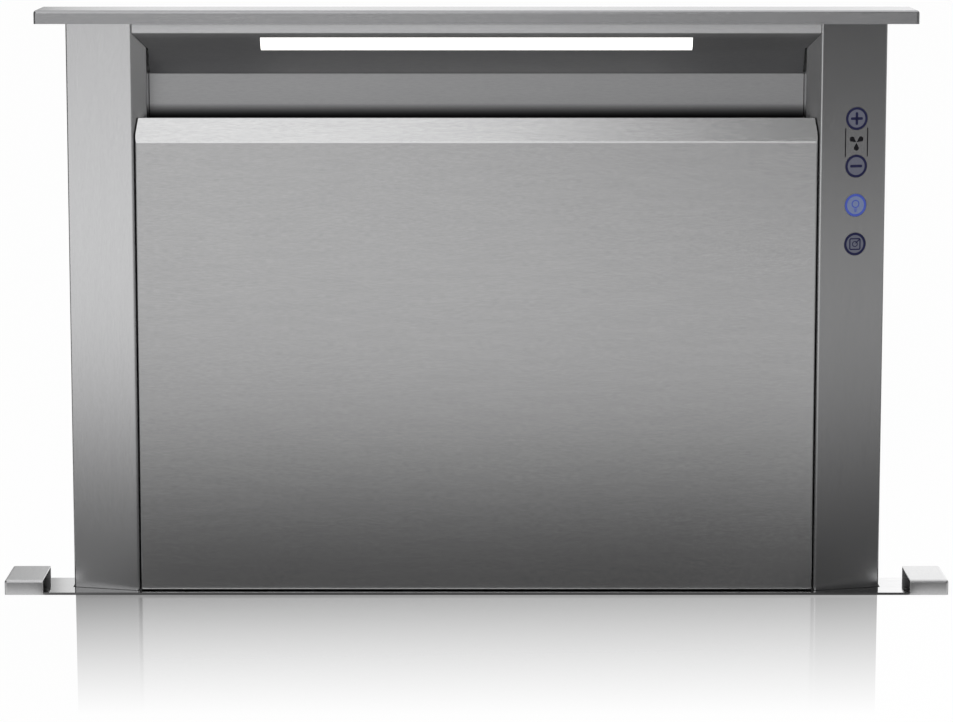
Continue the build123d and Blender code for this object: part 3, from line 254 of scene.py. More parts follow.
def circuitBoard():
    # glass-fibre board under green solder mask, with darker tracks about 2 mm apart
    material, tree, shader, place = startMaterial("green circuit board", {"IOR": 1.5})
    tracks = addNode(tree, "ShaderNodeTexBrick", {"Scale": 1.0, "Mortar Size": 0.08},
                     {"Vector": scaledPlace(tree, place, (2, 2, 2))})
    varyColor(tree, shader, tracks.outputs["Fac"], "1d5a34", "12401f", 0.0, 1.0)
    varyRoughness(tree, shader, stretchedNoise(tree, place, (4, 4, 4)), 0.25, 0.4)
    return material


def translucentCap(name, darkHex, paleHex, glowHex, glow):
    # grey tinted polycarbonate, moulded with a fine satin texture, with a lamp behind it
    settings = {"IOR": 1.58, "Emission Strength": glow, "Emission Color": linearColor(glowHex)}
    material, tree, shader, place = startMaterial(name, settings)
    satin = stretchedNoise(tree, place, (0.8, 0.8, 0.8))
    varyColor(tree, shader, satin, darkHex, paleHex)
    varyRoughness(tree, shader, satin, 0.38, 0.46)
    addBump(tree, shader, satin, 0.1, 0.03)
    return material


def printedInk(name, darkHex, paleHex):
    # pad-printed ink: thin, matt, a little uneven in its cover
    material, tree, shader, place = startMaterial(name, {"IOR": 1.5, "Specular IOR Level": 0.15})
    cover = stretchedNoise(tree, place, (0.5, 0.5, 0.5))
    varyColor(tree, shader, cover, darkHex, paleHex)
    varyRoughness(tree, shader, cover, 0.6, 0.75)
    addBump(tree, shader, cover, 0.15, 0.02)
    return material


def filterMesh():
    # expanded aluminium mesh in layers: pale wires about 1.4 mm wide, 3 mm apart, with painted shade in the
    # gaps between them
    material, tree, shader, place = startMaterial("expanded aluminium mesh", {"Metallic": 1.0})
    holes = addNode(tree, "ShaderNodeTexVoronoi", {"Scale": 1.0, "Randomness": 0.15},
                    {"Vector": scaledPlace(tree, place, (3, 3, 3), 45)}).outputs["Distance"]
    # the gaps are coloured dark: painted shade in the mesh's openings
    varyColor(tree, shader, holes, "c9cbcc", "3a3c3e", 0.35, 0.6)
    varyRoughness(tree, shader, holes, 0.3, 0.6)
    addBump(tree, shader, holes, 0.6, -0.6)
    return material


galvanised = galvanisedSheet()
blackRubber = mattePlastic("black silicone rubber", "0c0c0c", "171717", 0.6)
blackPlastic = mattePlastic("black moulded nylon", "131314", "1e1e20", 0.5)
whitePlastic = mattePlastic("natural acetal", "d6d6d0", "e4e4de", 0.4)
brightSteel = turnedMetal("zinc plated steel", "b9bcc0", "d2d4d6", 0.2, 0.32, (1.5, 1.5, 1.5))
castAluminium = turnedMetal("die-cast aluminium", "9a9c9e", "b2b4b5", 0.4, 0.55, (1.2, 1.2, 1.2))
sinteredBronze = turnedMetal("sintered bronze", "9c7440", "b88c52", 0.4, 0.55, (0.8, 0.8, 0.8))
rolledAluminium = turnedMetal("rolled aluminium", "bdbfc1", "d0d2d3", 0.28, 0.4, (30, 1.0, 1.0))
enamel = blackEnamel()
boardGreen = circuitBoard()
meshSheet = filterMesh()
litLens = frostedLens()
greyCap = translucentCap("grey tinted polycarbonate", "51535f", "595b69", "5a6088", 0.025)
blueCap = translucentCap("grey tinted polycarbonate, lit blue", "555f7c", "5f6a88", "7f94c8", 0.11)
navyInk = printedInk("navy pad-printing ink", "191a34", "222346")
blackInk = printedInk("black pad-printing ink", "0e0d10", "19181c")
blueInk = printedInk("blue pad-printing ink", "3a4896", "4a5aac")
print("materials ready")

finishes = {
    "trim_plate": polishedAcross, "left_end_cap": brushedDeep, "right_end_cap": brushedDeep,
    "slot_seal": blackRubber, "chassis_front": galvanised, "chassis_back": galvanised,
    "chassis_sides": galvanised, "chassis_floor": galvanised, "pan_screws": brightSteel,
    "guide_rails": brightSteel, "gear_racks": brightSteel, "counter_clamps": galvanised,
    "clamp_screws": brightSteel, "support_legs": galvanised, "leg_bolts": brightSteel,
    "blower_scroll": galvanised, "blower_cover": galvanised, "inlet_ring": blackPlastic,
    "blower_motor": enamel, "outlet_adapter": galvanised, "duct_collar": galvanised,
    "control_box": enamel, "connection_box": galvanised, "cable_bushing": blackPlastic,
    "blower_wheel": galvanised, "wheel_spindle": brightSteel, "damper_flap": galvanised,
    "damper_spindle": brightSteel, "lid": lidSteelPaintedDarker, "lid_base": galvanised,
    "left_pillar": brushedUpright, "right_pillar": brushedUpright, "mast_back": brushedAcross,
    "lower_apron": brushedAcross, "head_liner": headSteelPaintedLightAndShade, "lamp_lens": litLens,
    "lamp_housing": whitePlastic, "lamp_board": boardGreen, "filter_frames": rolledAluminium,
    "filter_meshes": meshSheet, "filter_pulls": brightSteel, "filter_shelf": galvanised,
    "catch_plates": galvanised, "control_board": boardGreen, "hinge_blocks": blackPlastic,
    "hinge_pins": brightSteel, "foot_frame": galvanised, "lift_gearbox": castAluminium,
    "lift_motor": enamel, "guide_shoes": whitePlastic, "shaft_bushes": sinteredBronze,
    "front_panel": brushedAcross, "panel_liner": galvanised, "panel_magnets": brightSteel,
    "cross_shaft": brightSteel, "pinions": brightSteel, "plus_button": greyCap,
    "minus_button": greyCap, "light_button": blueCap, "timer_button": greyCap,
}
for name, material in finishes.items():
    nodes[name].data.materials.clear()
    nodes[name].data.materials.append(material)
print("finishes on", len(finishes), "nodes")


def deselectAll():
    bpy.ops.object.select_all(action="DESELECT")


def onlySelect(piece):
    deselectAll()
    piece.select_set(True)
    bpy.context.view_layer.objects.active = piece


def applyPlace():
    bpy.ops.object.transform_apply(location=True, rotation=True, scale=True)


# The front panel, in millimetres: the solid's sharp fold under the bevel, and the flat it becomes
panelSizes = {"sharpFrom": 365.22, "sharpTo": 365.38, "foldFrom": 364.75, "foldTo": 366.55,
              "faceDepth": -20.9, "faceSlack": 0.03, "mergeDistance": 0.002}
foldTilt = 7.0   # degrees


def softenedPanel():
    # the fold under the bevel is a narrow flat, as the press tool leaves it, which catches the light
    sizes = {name: size * millimetre for name, size in panelSizes.items()}
    source = nodes["front_panel"]
    panel = source.copy()
    panel.data = source.data.copy()
    panel.name = "front_panel_folded"
    bpy.context.scene.collection.objects.link(panel)
    onlySelect(panel)
    bpy.ops.object.mode_set(mode="EDIT")
    bpy.ops.mesh.select_all(action="SELECT")
    bpy.ops.mesh.remove_doubles(threshold=sizes["mergeDistance"])
    bpy.ops.mesh.customdata_custom_splitnormals_clear()
    bpy.ops.object.mode_set(mode="OBJECT")
    bpy.ops.object.shade_flat()
    slope = math.tan(math.radians(foldTilt))
    spread = sizes["foldTo"] - sizes["foldFrom"]
    for vertex in panel.data.vertices:
        place = vertex.co
        inFold = sizes["sharpFrom"] < place.z < sizes["sharpTo"]
        if inFold and place.y < sizes["faceDepth"] + sizes["faceSlack"]:
            share = (place.z - sizes["sharpFrom"]) / (sizes["sharpTo"] - sizes["sharpFrom"])
            place.z = sizes["foldFrom"] + share * spread
            place.y = sizes["faceDepth"] + share * spread * slope
    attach(panel, "panel")
    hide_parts("front_panel")


softenedPanel()
print("panel folded")

# Printed marks on the push buttons and between the upper two, in millimetres
markSizes = {
    "inkDepth": 0.05, "inkLift": 0.01, "capSlack": 0.01, "ringOuter": 8.98, "ringInner": 7.15,
    "signLength": 10.2, "signWidth": 2.2, "guideLength": 23.0, "guideWidth": 0.9, "guideSpacing": 18.6,
    "bladeLength": 6.6, "bladeWidth": 4.4, "bladeGap": 0.3,
    "bulbOuter": 3.3, "bulbInner": 2.4, "bulbRaise": 1.0,
    "neckWidth": 3.0, "neckStep": 0.7, "neckStroke": 0.6, "neckTop": -3.1, "neckPitch": 1.0,
    "squareHalf": 4.8, "squareStroke": 1.0, "squareRound": 1.4,
    "handLength": 5.2, "handStroke": 0.9, "handPlace": 2.4, "dialOuter": 2.4, "dialInner": 1.7,
}
neckRows = 3
fanTurns = (55, -55, 180)   # degrees
barRounding = 0.4           # a bar's corners are rounded by this share of its width
# The way the right pillar's slanted face looks, and the way along it
pillarOutwards = Vector((0.2575, -0.9663, 0)).normalized()
pillarAlong = Vector((-pillarOutwards.y, pillarOutwards.x, 0))


def capFace(node):
    # middle of a button's outer face, from the highest points along its press direction
    points = [vertex.co for vertex in nodes[node].data.vertices]
    level = max(point.dot(pillarOutwards) for point in points)
    slack = markSizes["capSlack"] * millimetre
    rim = [point for point in points if point.dot(pillarOutwards) > level - slack]
    spread = [point.dot(pillarAlong) for point in rim]
    height = [point.z for point in rim]
    return (pillarOutwards * level + pillarAlong * (min(spread) + max(spread)) / 2
            + Vector((0, 0, (min(height) + max(height)) / 2)))


def flatRing(outer, inner, sides=48):
    bpy.ops.mesh.primitive_circle_add(vertices=sides, radius=outer * millimetre)
    ring = bpy.context.object
    bpy.ops.object.mode_set(mode="EDIT")
    bpy.ops.mesh.extrude_region()
    bpy.ops.transform.resize(value=(inner / outer,) * 3)
    bpy.ops.object.mode_set(mode="OBJECT")
    return ring


def flatBar(length, width, turn=0.0, x=0.0, y=0.0):
    # a bar with softly rounded corners, turned by an angle in degrees
    bpy.ops.mesh.primitive_plane_add(size=1)
    bar = bpy.context.object
    bar.scale = (length * millimetre, width * millimetre, 1)
    applyPlace()
    bpy.ops.object.mode_set(mode="EDIT")
    bpy.ops.mesh.select_all(action="SELECT")
    rounding = min(length, width) * barRounding * millimetre
    bpy.ops.mesh.bevel(offset=rounding, segments=3, affect="VERTICES")
    bpy.ops.object.mode_set(mode="OBJECT")
    bar.rotation_euler = (0, 0, math.radians(turn))
    bar.location = (x * millimetre, y * millimetre, 0)
    applyPlace()
    return bar


def fanBlade(turn):
    # a drop: the lower half of a circle is drawn out to a point near the middle of the sign
    radius = markSizes["bladeWidth"] / 2 * millimetre
    reach = markSizes["bladeLength"] * millimetre - radius
    bpy.ops.mesh.primitive_circle_add(vertices=24, radius=radius, fill_type="NGON")
    blade = bpy.context.object
    for vertex in blade.data.vertices:
        drawn = max(0.0, -vertex.co.y / radius)
        if drawn > 0:
            vertex.co.x = math.copysign(radius * (1 - drawn), vertex.co.x)
            vertex.co.y = -drawn * (reach - markSizes["bladeGap"] * millimetre)
        vertex.co.y += reach
    blade.rotation_euler = (0, 0, math.radians(turn))
    applyPlace()
    return blade


def squareOutline():
    sizes = markSizes
    bpy.ops.mesh.primitive_plane_add(size=2 * sizes["squareHalf"] * millimetre)
    outline = bpy.context.object
    bpy.ops.object.mode_set(mode="EDIT")
    bpy.ops.mesh.select_all(action="SELECT")
    bpy.ops.mesh.bevel(offset=sizes["squareRound"] * millimetre, segments=4, affect="VERTICES")
    bpy.ops.mesh.select_all(action="SELECT")
    bpy.ops.mesh.inset(thickness=sizes["squareStroke"] * millimetre)
    bpy.ops.mesh.delete(type="FACE")
    bpy.ops.object.mode_set(mode="OBJECT")
    return outline


def printMark(name, parts, centre, body, ink):
    # the flat parts are joined, given the ink's depth and laid on the pillar's slanted face
    deselectAll()
    for part in parts:
        part.select_set(True)
    mark = parts[0]
    bpy.context.view_layer.objects.active = mark
    bpy.ops.object.join()
    mark.name = name
    solid = mark.modifiers.new("ink", "SOLIDIFY")
    solid.thickness = markSizes["inkDepth"] * millimetre
    solid.offset = 1
    bpy.ops.object.modifier_apply(modifier="ink")
    frameOfFace = Matrix((pillarAlong, Vector((0, 0, 1)), pillarOutwards)).transposed().to_4x4()
    lifted = centre + pillarOutwards * markSizes["inkLift"] * millimetre
    mark.matrix_world = Matrix.Translation(lifted) @ frameOfFace
    applyPlace()
    mark.data.materials.clear()
    mark.data.materials.append(ink)
    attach(mark, body)


def keyRing():
    return flatRing(markSizes["ringOuter"], markSizes["ringInner"])


def bulbSign():
    sizes = markSizes
    glass = flatRing(sizes["bulbOuter"], sizes["bulbInner"], 28)
    for vertex in glass.data.vertices:
        vertex.co.y += sizes["bulbRaise"] * millimetre
    neck = [flatBar(sizes["neckWidth"] - sizes["neckStep"] * row, sizes["neckStroke"],
                    y=sizes["neckTop"] - sizes["neckPitch"] * row) for row in range(neckRows)]
    return [glass] + neck


def timerSign():
    sizes = markSizes
    outline = squareOutline()
    hand = flatBar(sizes["handLength"], sizes["handStroke"], 45, sizes["handPlace"], sizes["handPlace"])
    return [outline, hand, flatRing(sizes["dialOuter"], sizes["dialInner"], 24)]


deselectAll()
signLong, signWide = markSizes["signLength"], markSizes["signWidth"]
plusPlace, minusPlace = capFace("plus_button"), capFace("minus_button")
lightPlace, timerPlace = capFace("light_button"), capFace("timer_button")
printMark("plus_mark", [keyRing(), flatBar(signLong, signWide), flatBar(signLong, signWide, 90)],
          plusPlace, "plus_key", navyInk)
printMark("minus_mark", [keyRing(), flatBar(signLong, signWide)], minusPlace, "minus_key", navyInk)
printMark("light_mark", [keyRing()] + bulbSign(), lightPlace, "light_key", blueInk)
printMark("timer_mark", [keyRing()] + timerSign(), timerPlace, "timer_key", navyInk)
betweenKeys = (plusPlace + minusPlace) / 2
guides = [flatBar(markSizes["guideLength"], markSizes["guideWidth"], 90, side * markSizes["guideSpacing"] / 2)
          for side in (-1, 1)]
printMark("fan_speed_mark", [fanBlade(turn) for turn in fanTurns] + guides, betweenKeys, "mast", blackInk)
print("marks printed")


# The stage, in metres: a thin pale sheet as the worktop round the trim, and a pale floor under the chassis
stageSizes = {
    "worktopHalf": 0.42, "worktopFront": -0.46, "worktopBack": 0.04, "worktopThickness": 0.002,
    "worktopGap": 0.0001, "cutoutHalf": 0.363, "cutoutDepth": 0.0275, "cutterHeight": 0.2,
    "floorHeight": -0.7025, "floorHalf": 40.0,
    "mirrorHalf": 0.3266, "mirrorNear": -0.0285, "mirrorFar": -0.42,
}
stageLooks = {
    "worktopGlow": 0.93, "floorGlow": 0.97, "mirrorShare": 0.8, "mirrorPower": 1.15, "mirrorTaper": 0.115,
    "mirrorLeft": 1.05, "mirrorRight": 0.78, "mirrorGloss": 0.05,
}


def seenByEye(tree):
    # 1 for what the camera sees straight, in reflections or through glass, and 0 for what only lights
    path = addNode(tree, "ShaderNodeLightPath").outputs
    seen = path["Is Camera Ray"]
    for ray in ("Is Glossy Ray", "Is Transmission Ray"):
        seen = addNode(tree, "ShaderNodeMath", {"operation": "MAXIMUM"},
                       {0: seen, 1: path[ray]}).outputs["Value"]
    return seen


def polishedStrip(tree, surface):
    # a polished strip in front of the mast, which fades out towards the user
    axes = objectAxes(tree)
    fade = addNode(tree, "ShaderNodeMapRange", {
        "From Min": stageSizes["mirrorFar"], "From Max": stageSizes["mirrorNear"],
        "To Min": 0.0, "To Max": stageLooks["mirrorShare"]}, {"Value": axes["Y"]}).outputs["Result"]
    fade = addNode(tree, "ShaderNodeMath", {"operation": "POWER", 1: stageLooks["mirrorPower"]},
                   {0: fade}).outputs["Value"]
    edge = addNode(tree, "ShaderNodeMath", {
        "operation": "MULTIPLY_ADD", 1: stageLooks["mirrorTaper"], 2: stageSizes["mirrorHalf"]},
        {0: axes["Y"]}).outputs["Value"]
    side = addNode(tree, "ShaderNodeMath", {"operation": "ABSOLUTE"}, {0: axes["X"]}).outputs["Value"]
    inside = addNode(tree, "ShaderNodeMath", {"operation": "LESS_THAN"}, {0: side, 1: edge}).outputs["Value"]
    amount = addNode(tree, "ShaderNodeMath", {"operation": "MULTIPLY"}, {0: fade, 1: inside}).outputs["Value"]
    across = addNode(tree, "ShaderNodeMapRange", {
        "From Min": -stageSizes["mirrorHalf"], "From Max": stageSizes["mirrorHalf"],
        "To Min": stageLooks["mirrorLeft"], "To Max": stageLooks["mirrorRight"]},
        {"Value": axes["X"]}).outputs["Result"]
    amount = addNode(tree, "ShaderNodeMath", {"operation": "MULTIPLY"},
                     {0: amount, 1: across}).outputs["Value"]
    gloss = addNode(tree, "ShaderNodeBsdfGlossy", {
        "Color": linearColor("b4b4b4"), "Roughness": stageLooks["mirrorGloss"]}).outputs["BSDF"]
    return addNode(tree, "ShaderNodeMixShader", links={0: amount, 1: surface, 2: gloss}).outputs["Shader"]


def paleSurface(name, glowShare, mirrored=False):
    # matt white paint that stays white to the eye and in reflections, and keeps soft shadows
    material, tree = emptyMaterial(name)
    share = addNode(tree, "ShaderNodeMath", {"operation": "MULTIPLY", 1: glowShare},
                    {0: seenByEye(tree)}).outputs["Value"]
    paint = addNode(tree, "ShaderNodeBsdfDiffuse", {"Color": linearColor("f6f6f6")}).outputs["BSDF"]
    glow = addNode(tree, "ShaderNodeEmission",
                   {"Color": linearColor("ffffff"), "Strength": 1.0}).outputs["Emission"]
    surface = addNode(tree, "ShaderNodeMixShader", links={0: share, 1: paint, 2: glow}).outputs["Shader"]
    if mirrored:
        surface = polishedStrip(tree, surface)
    addNode(tree, "ShaderNodeOutputMaterial", links={"Surface": surface})
    return material


def addPlane(name, low, high, height, material):
    # a flat rectangle between two corners in x and y
    deselectAll()
    bpy.ops.mesh.primitive_plane_add(size=1)
    plane = bpy.context.object
    plane.name = name
    plane.scale = (high[0] - low[0], high[1] - low[1], 1)
    plane.location = ((low[0] + high[0]) / 2, (low[1] + high[1]) / 2, height)
    applyPlace()
    plane.data.materials.append(material)
    return plane


def addWorktop():
    sizes = stageSizes
    deselectAll()
    bpy.ops.mesh.primitive_cube_add(size=1)
    hole = bpy.context.object
    hole.scale = (2 * sizes["cutoutHalf"], 2 * sizes["cutoutDepth"], sizes["cutterHeight"])
    applyPlace()
    bpy.ops.mesh.primitive_cube_add(size=1)
    slab = bpy.context.object
    slab.name = "worktop"
    front, back, thickness = sizes["worktopFront"], sizes["worktopBack"], sizes["worktopThickness"]
    slab.scale = (2 * sizes["worktopHalf"], back - front, thickness)
    slab.location = (0, (back + front) / 2, -thickness / 2 - sizes["worktopGap"])
    applyPlace()
    onlySelect(slab)
    cut = slab.modifiers.new("cut-out", "BOOLEAN")
    cut.object = hole
    bpy.ops.object.modifier_apply(modifier="cut-out")
    bpy.data.objects.remove(hole)
    slab.data.materials.append(paleSurface("pale polished worktop", stageLooks["worktopGlow"], mirrored=True))
    return slab


worktop = addWorktop()
worktop.visible_glossy = False   # reflections see the ground card instead
floorHalf = stageSizes["floorHalf"]
paleFloor = paleSurface("pale floor", stageLooks["floorGlow"])
addPlane("floor", (-floorHalf, -floorHalf), (floorHalf, floorHalf), stageSizes["floorHeight"], paleFloor)
print("stage ready")

# Cards that only reflections see, as a studio's flags: pale on the left, darker on the right and at
# both sides, and dark on the ground close to the mast.
# Each pair is a place on the card, from 0 at the left to 1 at the right, and its brightness there.
cardLevels = {
    "ground": ((0.04, 1.09), (0.18, 1.03), (0.27, 0.76), (0.34, 0.72), (0.5, 0.73), (0.58, 0.70),
               (0.63, 0.69), (0.70, 0.78), (0.73, 0.76), (0.785, 0.50), (0.95, 0.46)),
    "wallLow": ((0.04, 0.99), (0.42, 0.75), (0.5, 0.71), (0.58, 0.54), (0.62, 0.44), (0.95, 0.07)),
    "wallHigh": ((0.04, 1.4), (0.5, 1.18), (0.58, 0.36), (0.62, 0.07), (0.95, 0.08)),
    "back": ((0.205, 0.47), (0.212, 0.92), (0.28, 1.18), (0.5, 1.2), (0.72, 1.12), (0.8, 1.35)),
    "nearest": 0.14, "paleAside": 0.035, "besideCaps": 0.95,
    "leftSide": 0.13, "rightSide": 0.30, "wallDip": 0.82, "wallBand": 0.5, "foldGlint": 2.0,
}
cardSizes = {   # in metres
    "wallPlace": -2.6, "backPlace": 3.0, "height": 4.0, "half": 4.0,
    "sidePlace": 2.9, "sideMiddle": 0.2, "sideWidth": 5.6, "groundBack": -0.03, "groundHeight": -0.003,
}
# From where to where something fades in or out: in metres, or as a slant, which is sideways by ahead
cardFades = {
    "dark": (-0.12, -1.38), "aside": (0.44, 0.54), "besideCaps": (0.330, 0.334),
    "closeToCaps": (-0.066, -0.060), "outer": (0.3, 0.5), "dip": (0.17, 0.29), "band": (0.34, 0.48),
    "glintRise": (0.64, 0.70), "glintFall": (0.86, 0.92), "glintSide": (0.3, 0.4), "high": (0.72, 0.95),
}
widestSlant = 0.8    # the slant at a ramp's two ends
groundLead = 0.6     # slants on the ground are counted from this far behind the mast, in metres
capSlope = 0.45      # how fast the pale patches before the caps widen towards the mast
backStretch = 2      # how much wider the slants on the back card are drawn


def slantRamp(tree, slant, levels):
    # a grey ramp over the sideways slant of the line from the mast to the card
    spread = addNode(tree, "ShaderNodeMapRange", {"From Min": -widestSlant, "From Max": widestSlant},
                     {"Value": slant}).outputs["Result"]
    ramp = addNode(tree, "ShaderNodeValToRGB", links={"Fac": spread})
    stops = ramp.color_ramp.elements
    while len(stops) < len(levels):
        stops.new(0.5)
    for stop, (position, level) in zip(stops, levels):
        stop.position = position
        stop.color = [level] * 3 + [1]
    return ramp.outputs["Color"]


def endCard(tree, settings, links=None):
    # the card glows in a colour that is either set or linked
    glow = addNode(tree, "ShaderNodeEmission", {"Strength": 1.0, **settings}, links)
    addNode(tree, "ShaderNodeOutputMaterial", links={"Surface": glow.outputs["Emission"]})


def fadeOver(tree, value, fade, atStart, atEnd):
    # goes smoothly from one amount to the other where the value passes the fade's two ends
    start, end = cardFades[fade]
    settings = {"From Min": start, "From Max": end, "To Min": atStart, "To Max": atEnd,
                "interpolation_type": "SMOOTHSTEP"}
    return addNode(tree, "ShaderNodeMapRange", settings, {"Value": value}).outputs["Result"]


def groundCardMaterial():
    material, tree = emptyMaterial("ground card")
    axes = objectAxes(tree)
    ahead = addNode(tree, "ShaderNodeMath", {"operation": "MULTIPLY_ADD", 1: -1.0, 2: groundLead},
                    {0: axes["Y"]}).outputs["Value"]
    slant = addNode(tree, "ShaderNodeMath", {"operation": "DIVIDE"},
                    {0: axes["X"], 1: ahead}).outputs["Value"]
    level = slantRamp(tree, slant, cardLevels["ground"])
    near = fadeOver(tree, axes["Y"], "dark", cardLevels["nearest"], 1.0)
    # the pillars' slanted faces look out to both sides, where the ground is a little paler
    aside = addNode(tree, "ShaderNodeMath", {"operation": "ABSOLUTE"}, {0: slant}).outputs["Value"]
    aside = fadeOver(tree, aside, "aside", 0.0, cardLevels["paleAside"])
    near = addNode(tree, "ShaderNodeMath", {"operation": "ADD"}, {0: near, 1: aside}).outputs["Value"]
    level = addNode(tree, "ShaderNodeVectorMath", {"operation": "SCALE"},
                    {0: level, "Scale": near}).outputs["Vector"]
    # in front of the end caps the ground is pale
    side = addNode(tree, "ShaderNodeMath", {"operation": "ABSOLUTE"}, {0: axes["X"]}).outputs["Value"]
    side = addNode(tree, "ShaderNodeMath", {"operation": "MULTIPLY_ADD", 1: capSlope},
                   {0: axes["Y"], 2: side}).outputs["Value"]
    beside = fadeOver(tree, side, "besideCaps", 0.0, 1.0)
    close = fadeOver(tree, axes["Y"], "closeToCaps", 0.0, 1.0)
    patch = addNode(tree, "ShaderNodeMath", {"operation": "MULTIPLY"}, {0: beside, 1: close}).outputs["Value"]
    both = addNode(tree, "ShaderNodeMix", {"data_type": "RGBA", 7: [cardLevels["besideCaps"]] * 3 + [1]},
                   {0: patch, 6: level})
    endCard(tree, {}, {"Color": both.outputs[2]})
    return material


def wallCardMaterial():
    # pale low down, a little dimmer at the lid's height, dim above that, and bright for the panel's bevel
    material, tree = emptyMaterial("wall card")
    axes = objectAxes(tree)
    slant = addNode(tree, "ShaderNodeMath", {"operation": "MULTIPLY", 1: -1 / cardSizes["wallPlace"]},
                    {0: axes["X"]}).outputs["Value"]
    low = slantRamp(tree, slant, cardLevels["wallLow"])
    high = slantRamp(tree, slant, cardLevels["wallHigh"])
    side = addNode(tree, "ShaderNodeMath", {"operation": "ABSOLUTE"}, {0: slant}).outputs["Value"]
    outer = fadeOver(tree, side, "outer", 0.0, 1.0)
    dip = fadeOver(tree, axes["Z"], "dip", 1.0, cardLevels["wallDip"])
    dip = addNode(tree, "ShaderNodeMath", {"operation": "MAXIMUM"}, {0: dip, 1: outer}).outputs["Value"]
    band = fadeOver(tree, axes["Z"], "band", 1.0, cardLevels["wallBand"])
    dip = addNode(tree, "ShaderNodeMath", {"operation": "MULTIPLY"}, {0: dip, 1: band}).outputs["Value"]
    low = addNode(tree, "ShaderNodeVectorMath", {"operation": "SCALE"},
                  {0: low, "Scale": dip}).outputs["Vector"]
    # a bright strip for the fold under the panel's bevel
    rise = fadeOver(tree, axes["Z"], "glintRise", 0.0, cardLevels["foldGlint"])
    fall = fadeOver(tree, axes["Z"], "glintFall", 1.0, 0.0)
    inner = fadeOver(tree, side, "glintSide", 1.0, 0.0)
    strip = addNode(tree, "ShaderNodeMath", {"operation": "MULTIPLY"}, {0: rise, 1: fall}).outputs["Value"]
    strip = addNode(tree, "ShaderNodeMath", {"operation": "MULTIPLY"}, {0: strip, 1: inner}).outputs["Value"]
    low = addNode(tree, "ShaderNodeVectorMath", {"operation": "ADD"}, {0: low, 1: strip}).outputs["Vector"]
    # the outer parts stay as they are low down
    height = fadeOver(tree, axes["Z"], "high", 0.0, 1.0)
    middle = addNode(tree, "ShaderNodeMapRange", {
        "To Min": 1.0, "To Max": 0.0, "interpolation_type": "SMOOTHSTEP"}, {"Value": outer}).outputs["Result"]
    height = addNode(tree, "ShaderNodeMath", {"operation": "MULTIPLY"},
                     {0: height, 1: middle}).outputs["Value"]
    both = addNode(tree, "ShaderNodeMix", {"data_type": "RGBA"}, {0: height, 6: low, 7: high})
    endCard(tree, {}, {"Color": both.outputs[2]})
    return material


def backCardMaterial():
    material, tree = emptyMaterial("back card")
    stretch = backStretch / cardSizes["backPlace"]
    slant = addNode(tree, "ShaderNodeMath", {"operation": "MULTIPLY", 1: stretch},
                    {0: objectAxes(tree)["X"]}).outputs["Value"]
    endCard(tree, {}, {"Color": slantRamp(tree, slant, cardLevels["back"])})
    return material


def sideCardMaterial(name, level):
    material, tree = emptyMaterial(name)
    endCard(tree, {"Color": [level] * 3 + [1]})
    return material


def showOnlyInReflections(card):
    card.visible_camera = False
    card.visible_diffuse = False
    card.visible_transmission = False
    card.visible_shadow = False
    card.visible_volume_scatter = False


def addUprightCard(name, place, turn, width, material):
    # a card standing on the floor; its base is at the floor's height
    height = cardSizes["height"]
    card = addPlane(name, (-width / 2, -height / 2), (width / 2, height / 2), 0, material)
    onlySelect(card)
    card.rotation_euler = (math.radians(90), 0, math.radians(turn))
    card.location = (place[0], place[1], stageSizes["floorHeight"] + height / 2)
    applyPlace()
    showOnlyInReflections(card)


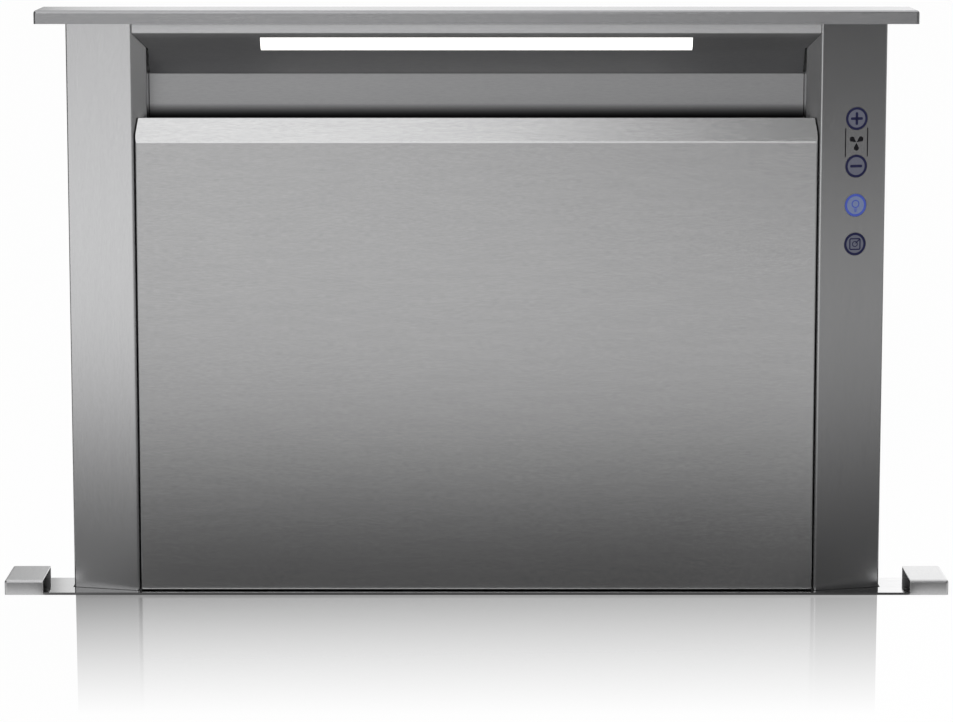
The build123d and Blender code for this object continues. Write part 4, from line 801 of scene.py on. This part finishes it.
half, wallPlace = cardSizes["half"], cardSizes["wallPlace"]
groundCard = addPlane("ground card", (-half, wallPlace), (half, cardSizes["groundBack"]),
                      cardSizes["groundHeight"], groundCardMaterial())
showOnlyInReflections(groundCard)
addUprightCard("wall card", (0, wallPlace), 0, 2 * half, wallCardMaterial())
addUprightCard("back card", (0, cardSizes["backPlace"]), 0, 2 * half, backCardMaterial())
for name, side, level in (("left card", -1, "leftSide"), ("right card", 1, "rightSide")):
    place = (side * cardSizes["sidePlace"], cardSizes["sideMiddle"])
    addUprightCard(name, place, 90, cardSizes["sideWidth"], sideCardMaterial(name, cardLevels[level]))
print("cards ready")

# Lamps: large soft boxes, seen only by matt surfaces, and a plain world
lampSettings = {
    "key": {"place": (-2.0, -2.3, 2.4), "aim": (0, 0, 0.2), "size": 2.4, "power": 60},
    "fill": {"place": (2.4, -2.0, 1.0), "aim": (0, 0, -0.1), "size": 2.0, "power": 20},
    "back": {"place": (1.5, 2.4, 2.2), "aim": (0, 0, 0.2), "size": 2.4, "power": 50},
}
for name, lamp in lampSettings.items():
    light = bpy.data.lights.new(name, "AREA")
    light.size = lamp["size"]
    light.energy = lamp["power"]
    holder = bpy.data.objects.new(name, light)
    bpy.context.scene.collection.objects.link(holder)
    holder.location = lamp["place"]
    holder.rotation_euler = (Vector(lamp["aim"]) - Vector(lamp["place"])).to_track_quat("-Z", "Y").to_euler()
    holder.visible_glossy = False

worldSettings = {"lighting": 0.6, "seen": 1.0}
world = bpy.data.worlds.new("studio")
bpy.context.scene.world = world
world.use_nodes = True
worldTree = world.node_tree
worldTree.nodes.clear()
worldStrength = addNode(worldTree, "ShaderNodeMapRange", {
    "To Min": worldSettings["lighting"], "To Max": worldSettings["seen"]}, {"Value": seenByEye(worldTree)})
worldLight = addNode(worldTree, "ShaderNodeBackground", {"Color": linearColor("ffffff")},
                     {"Strength": worldStrength.outputs["Result"]})
addNode(worldTree, "ShaderNodeOutputWorld", links={"Surface": worldLight.outputs["Background"]})
bpy.context.scene.view_settings.view_transform = "Standard"
print("light ready")

# The camera, solved from the photograph's straight edges
cameraSettings = {"place": (0, -2.8595, 0.6222), "tilt": 8.66, "lens": 135.37, "sensor": 36.0}
cameraData = bpy.data.cameras.new("camera")
cameraData.sensor_width = cameraSettings["sensor"]
cameraData.lens = cameraSettings["lens"]
camera = bpy.data.objects.new("camera", cameraData)
bpy.context.scene.collection.objects.link(camera)
camera.location = cameraSettings["place"]
camera.rotation_euler = (math.radians(90 - cameraSettings["tilt"]), 0, 0)
bpy.context.scene.camera = camera
print("camera ready")
